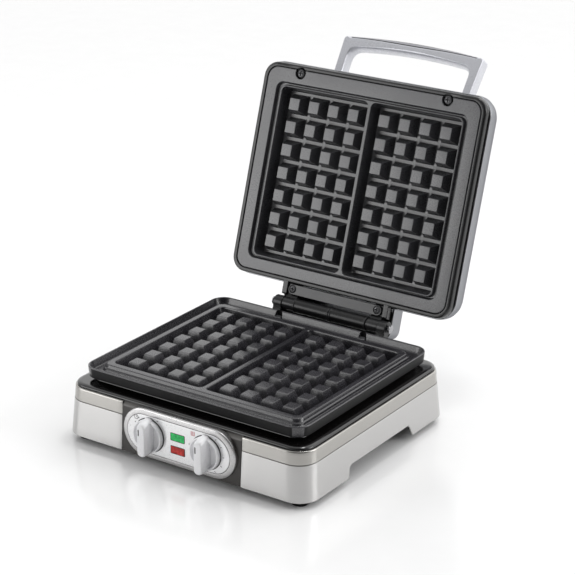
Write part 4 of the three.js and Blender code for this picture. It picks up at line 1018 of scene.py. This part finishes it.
# ------------------------------------------------------------------ carried-over CAD nodes
KEEP = {
    "lower_heating_element": M_ELEMENT, "upper_heating_element": M_ELEMENT,
    "lower_element_strap": M_STEEL, "upper_element_strap": M_STEEL, "lower_reflector": M_ALU, "upper_reflector": M_ALU,
    "bottom_cover": M_BLACK, "timer_unit": M_ALU, "thermostat_unit": M_BEIGE, "terminal_block": M_BEIGE, "thermal_fuse": M_ALU,
    "timer_lead": M_LEAD, "thermostat_lead": M_LEAD, "element_lead": M_LEAD, "ready_lamp": M_LAMP, "power_lamp": M_LAMP,
    "timer_shaft": M_STEEL, "thermostat_shaft": M_STEEL, "handle_screw_left": M_STEEL, "handle_screw_right": M_STEEL,
}
for n, m in KEEP.items():
    o = frame["nodes"][n]
    if not o.data.materials:
        o.data.materials.append(m)
    for i in range(len(o.data.materials)):
        o.data.materials[i] = m

# ------------------------------------------------------------------ stage
WORLD_BASE = 0.585
LOBES = [((0.77, -0.60, 0.20), -0.70, 0.12), ((0.0, 0.0, 1.0), 0.08, 0.35), ((-0.85, -0.35, 0.35), -0.05, 0.35), ((-0.50, 0.78, 0.36), 0.66, 0.35), ((0.70, 0.65, 0.30), 0.82, 0.35)]
SUN_E, SUN_ANGLE, SUN_DIR = 0.36, 60.0, (0.30, 0.10, 1.0)
LEFT_W, RIGHT_W, TOP_W = 5.4, 9.6, 2.4
S = Solid()
S.v = [(-6000, -6000, 0), (6000, -6000, 0), (6000, 6000, 0), (-6000, 6000, 0)]
S.f = [(0, 1, 2, 3)]
me = bpy.data.meshes.new("floor")
me.from_pydata([(x / 1000, y / 1000, z) for x, y, z in S.v], [], S.f)
floor = bpy.data.objects.new("floor", me)
bpy.context.scene.collection.objects.link(floor)
floor.data.materials.append(surface("floor_white", lin(247, 247, 247), 0.16, 0.0, 30, 0.006, 0.03, 0.0, 0.00001, spec=0.5))

# studio: an even dome with soft lobes added or taken away
world = bpy.data.worlds.new("studio")
bpy.context.scene.world = world
world.use_nodes = True
wn = world.node_tree
bg = wn.nodes["Background"]
tc = wn.nodes.new("ShaderNodeTexCoord")
total = None
for d, wgt, edge in LOBES:
    dot = wn.nodes.new("ShaderNodeVectorMath")
    dot.operation = "DOT_PRODUCT"
    wn.links.new(tc.outputs["Generated"], dot.inputs[0])
    dot.inputs[1].default_value = Vector(d).normalized()
    part = _range(wn, dot.outputs["Value"], 0.0, wgt, edge, 0.97)
    total = _math(wn, "ADD", part, WORLD_BASE if total is None else total)
wn.links.new(_math(wn, "MAXIMUM", total, 0.0), bg.inputs["Strength"])
bg.inputs["Color"].default_value = (1.0, 1.0, 1.0, 1)


def area(name, loc, target, size, power, color=(1, 1, 1)):
    d = bpy.data.lights.new(name, "AREA")
    d.shape = "RECTANGLE"
    d.size, d.size_y = size
    d.energy = power
    d.color = color
    o = bpy.data.objects.new(name, d)
    bpy.context.scene.collection.objects.link(o)
    o.location = loc
    o.rotation_mode = "QUATERNION"
    o.rotation_quaternion = (Vector(target) - Vector(loc)).to_track_quat("-Z", "Y")
    return o


sun_d = bpy.data.lights.new("sky_panel", "SUN")
sun_d.energy = SUN_E
sun_d.angle = math.radians(SUN_ANGLE)
sun = bpy.data.objects.new("sky_panel", sun_d)
bpy.context.scene.collection.objects.link(sun)
sun.visible_glossy = False
sun.rotation_mode = "QUATERNION"
sun.rotation_quaternion = (-Vector(SUN_DIR)).to_track_quat("-Z", "Y")
area("left_box", (-0.95, -1.05, 0.42), (0.0, 0.08, 0.17), (0.9, 0.7), LEFT_W)
area("right_box", (1.6, 0.5, 0.9), (0.1, 0.0, 0.15), (0.9, 0.9), RIGHT_W)
area("top_lamp", (0.135, 0.24, 1.52), (0.1, -0.08, 0.05), (0.2, 0.2), TOP_W)

cam_d = bpy.data.cameras.new("camera")
cam_d.sensor_width = 36.0
cam_d.lens = 126.33
cam = bpy.data.objects.new("camera", cam_d)
bpy.context.scene.collection.objects.link(cam)
cam.location = (0.9791, -1.44684, 0.7972)
cam.rotation_mode = "QUATERNION"
cam.rotation_quaternion = Vector((-0.5277, 0.7678, -0.3634)).to_track_quat("-Z", "Y")
cam_d.clip_start, cam_d.clip_end = 0.05, 50
bpy.context.scene.camera = cam
bpy.context.scene.view_settings.view_transform = "Standard"
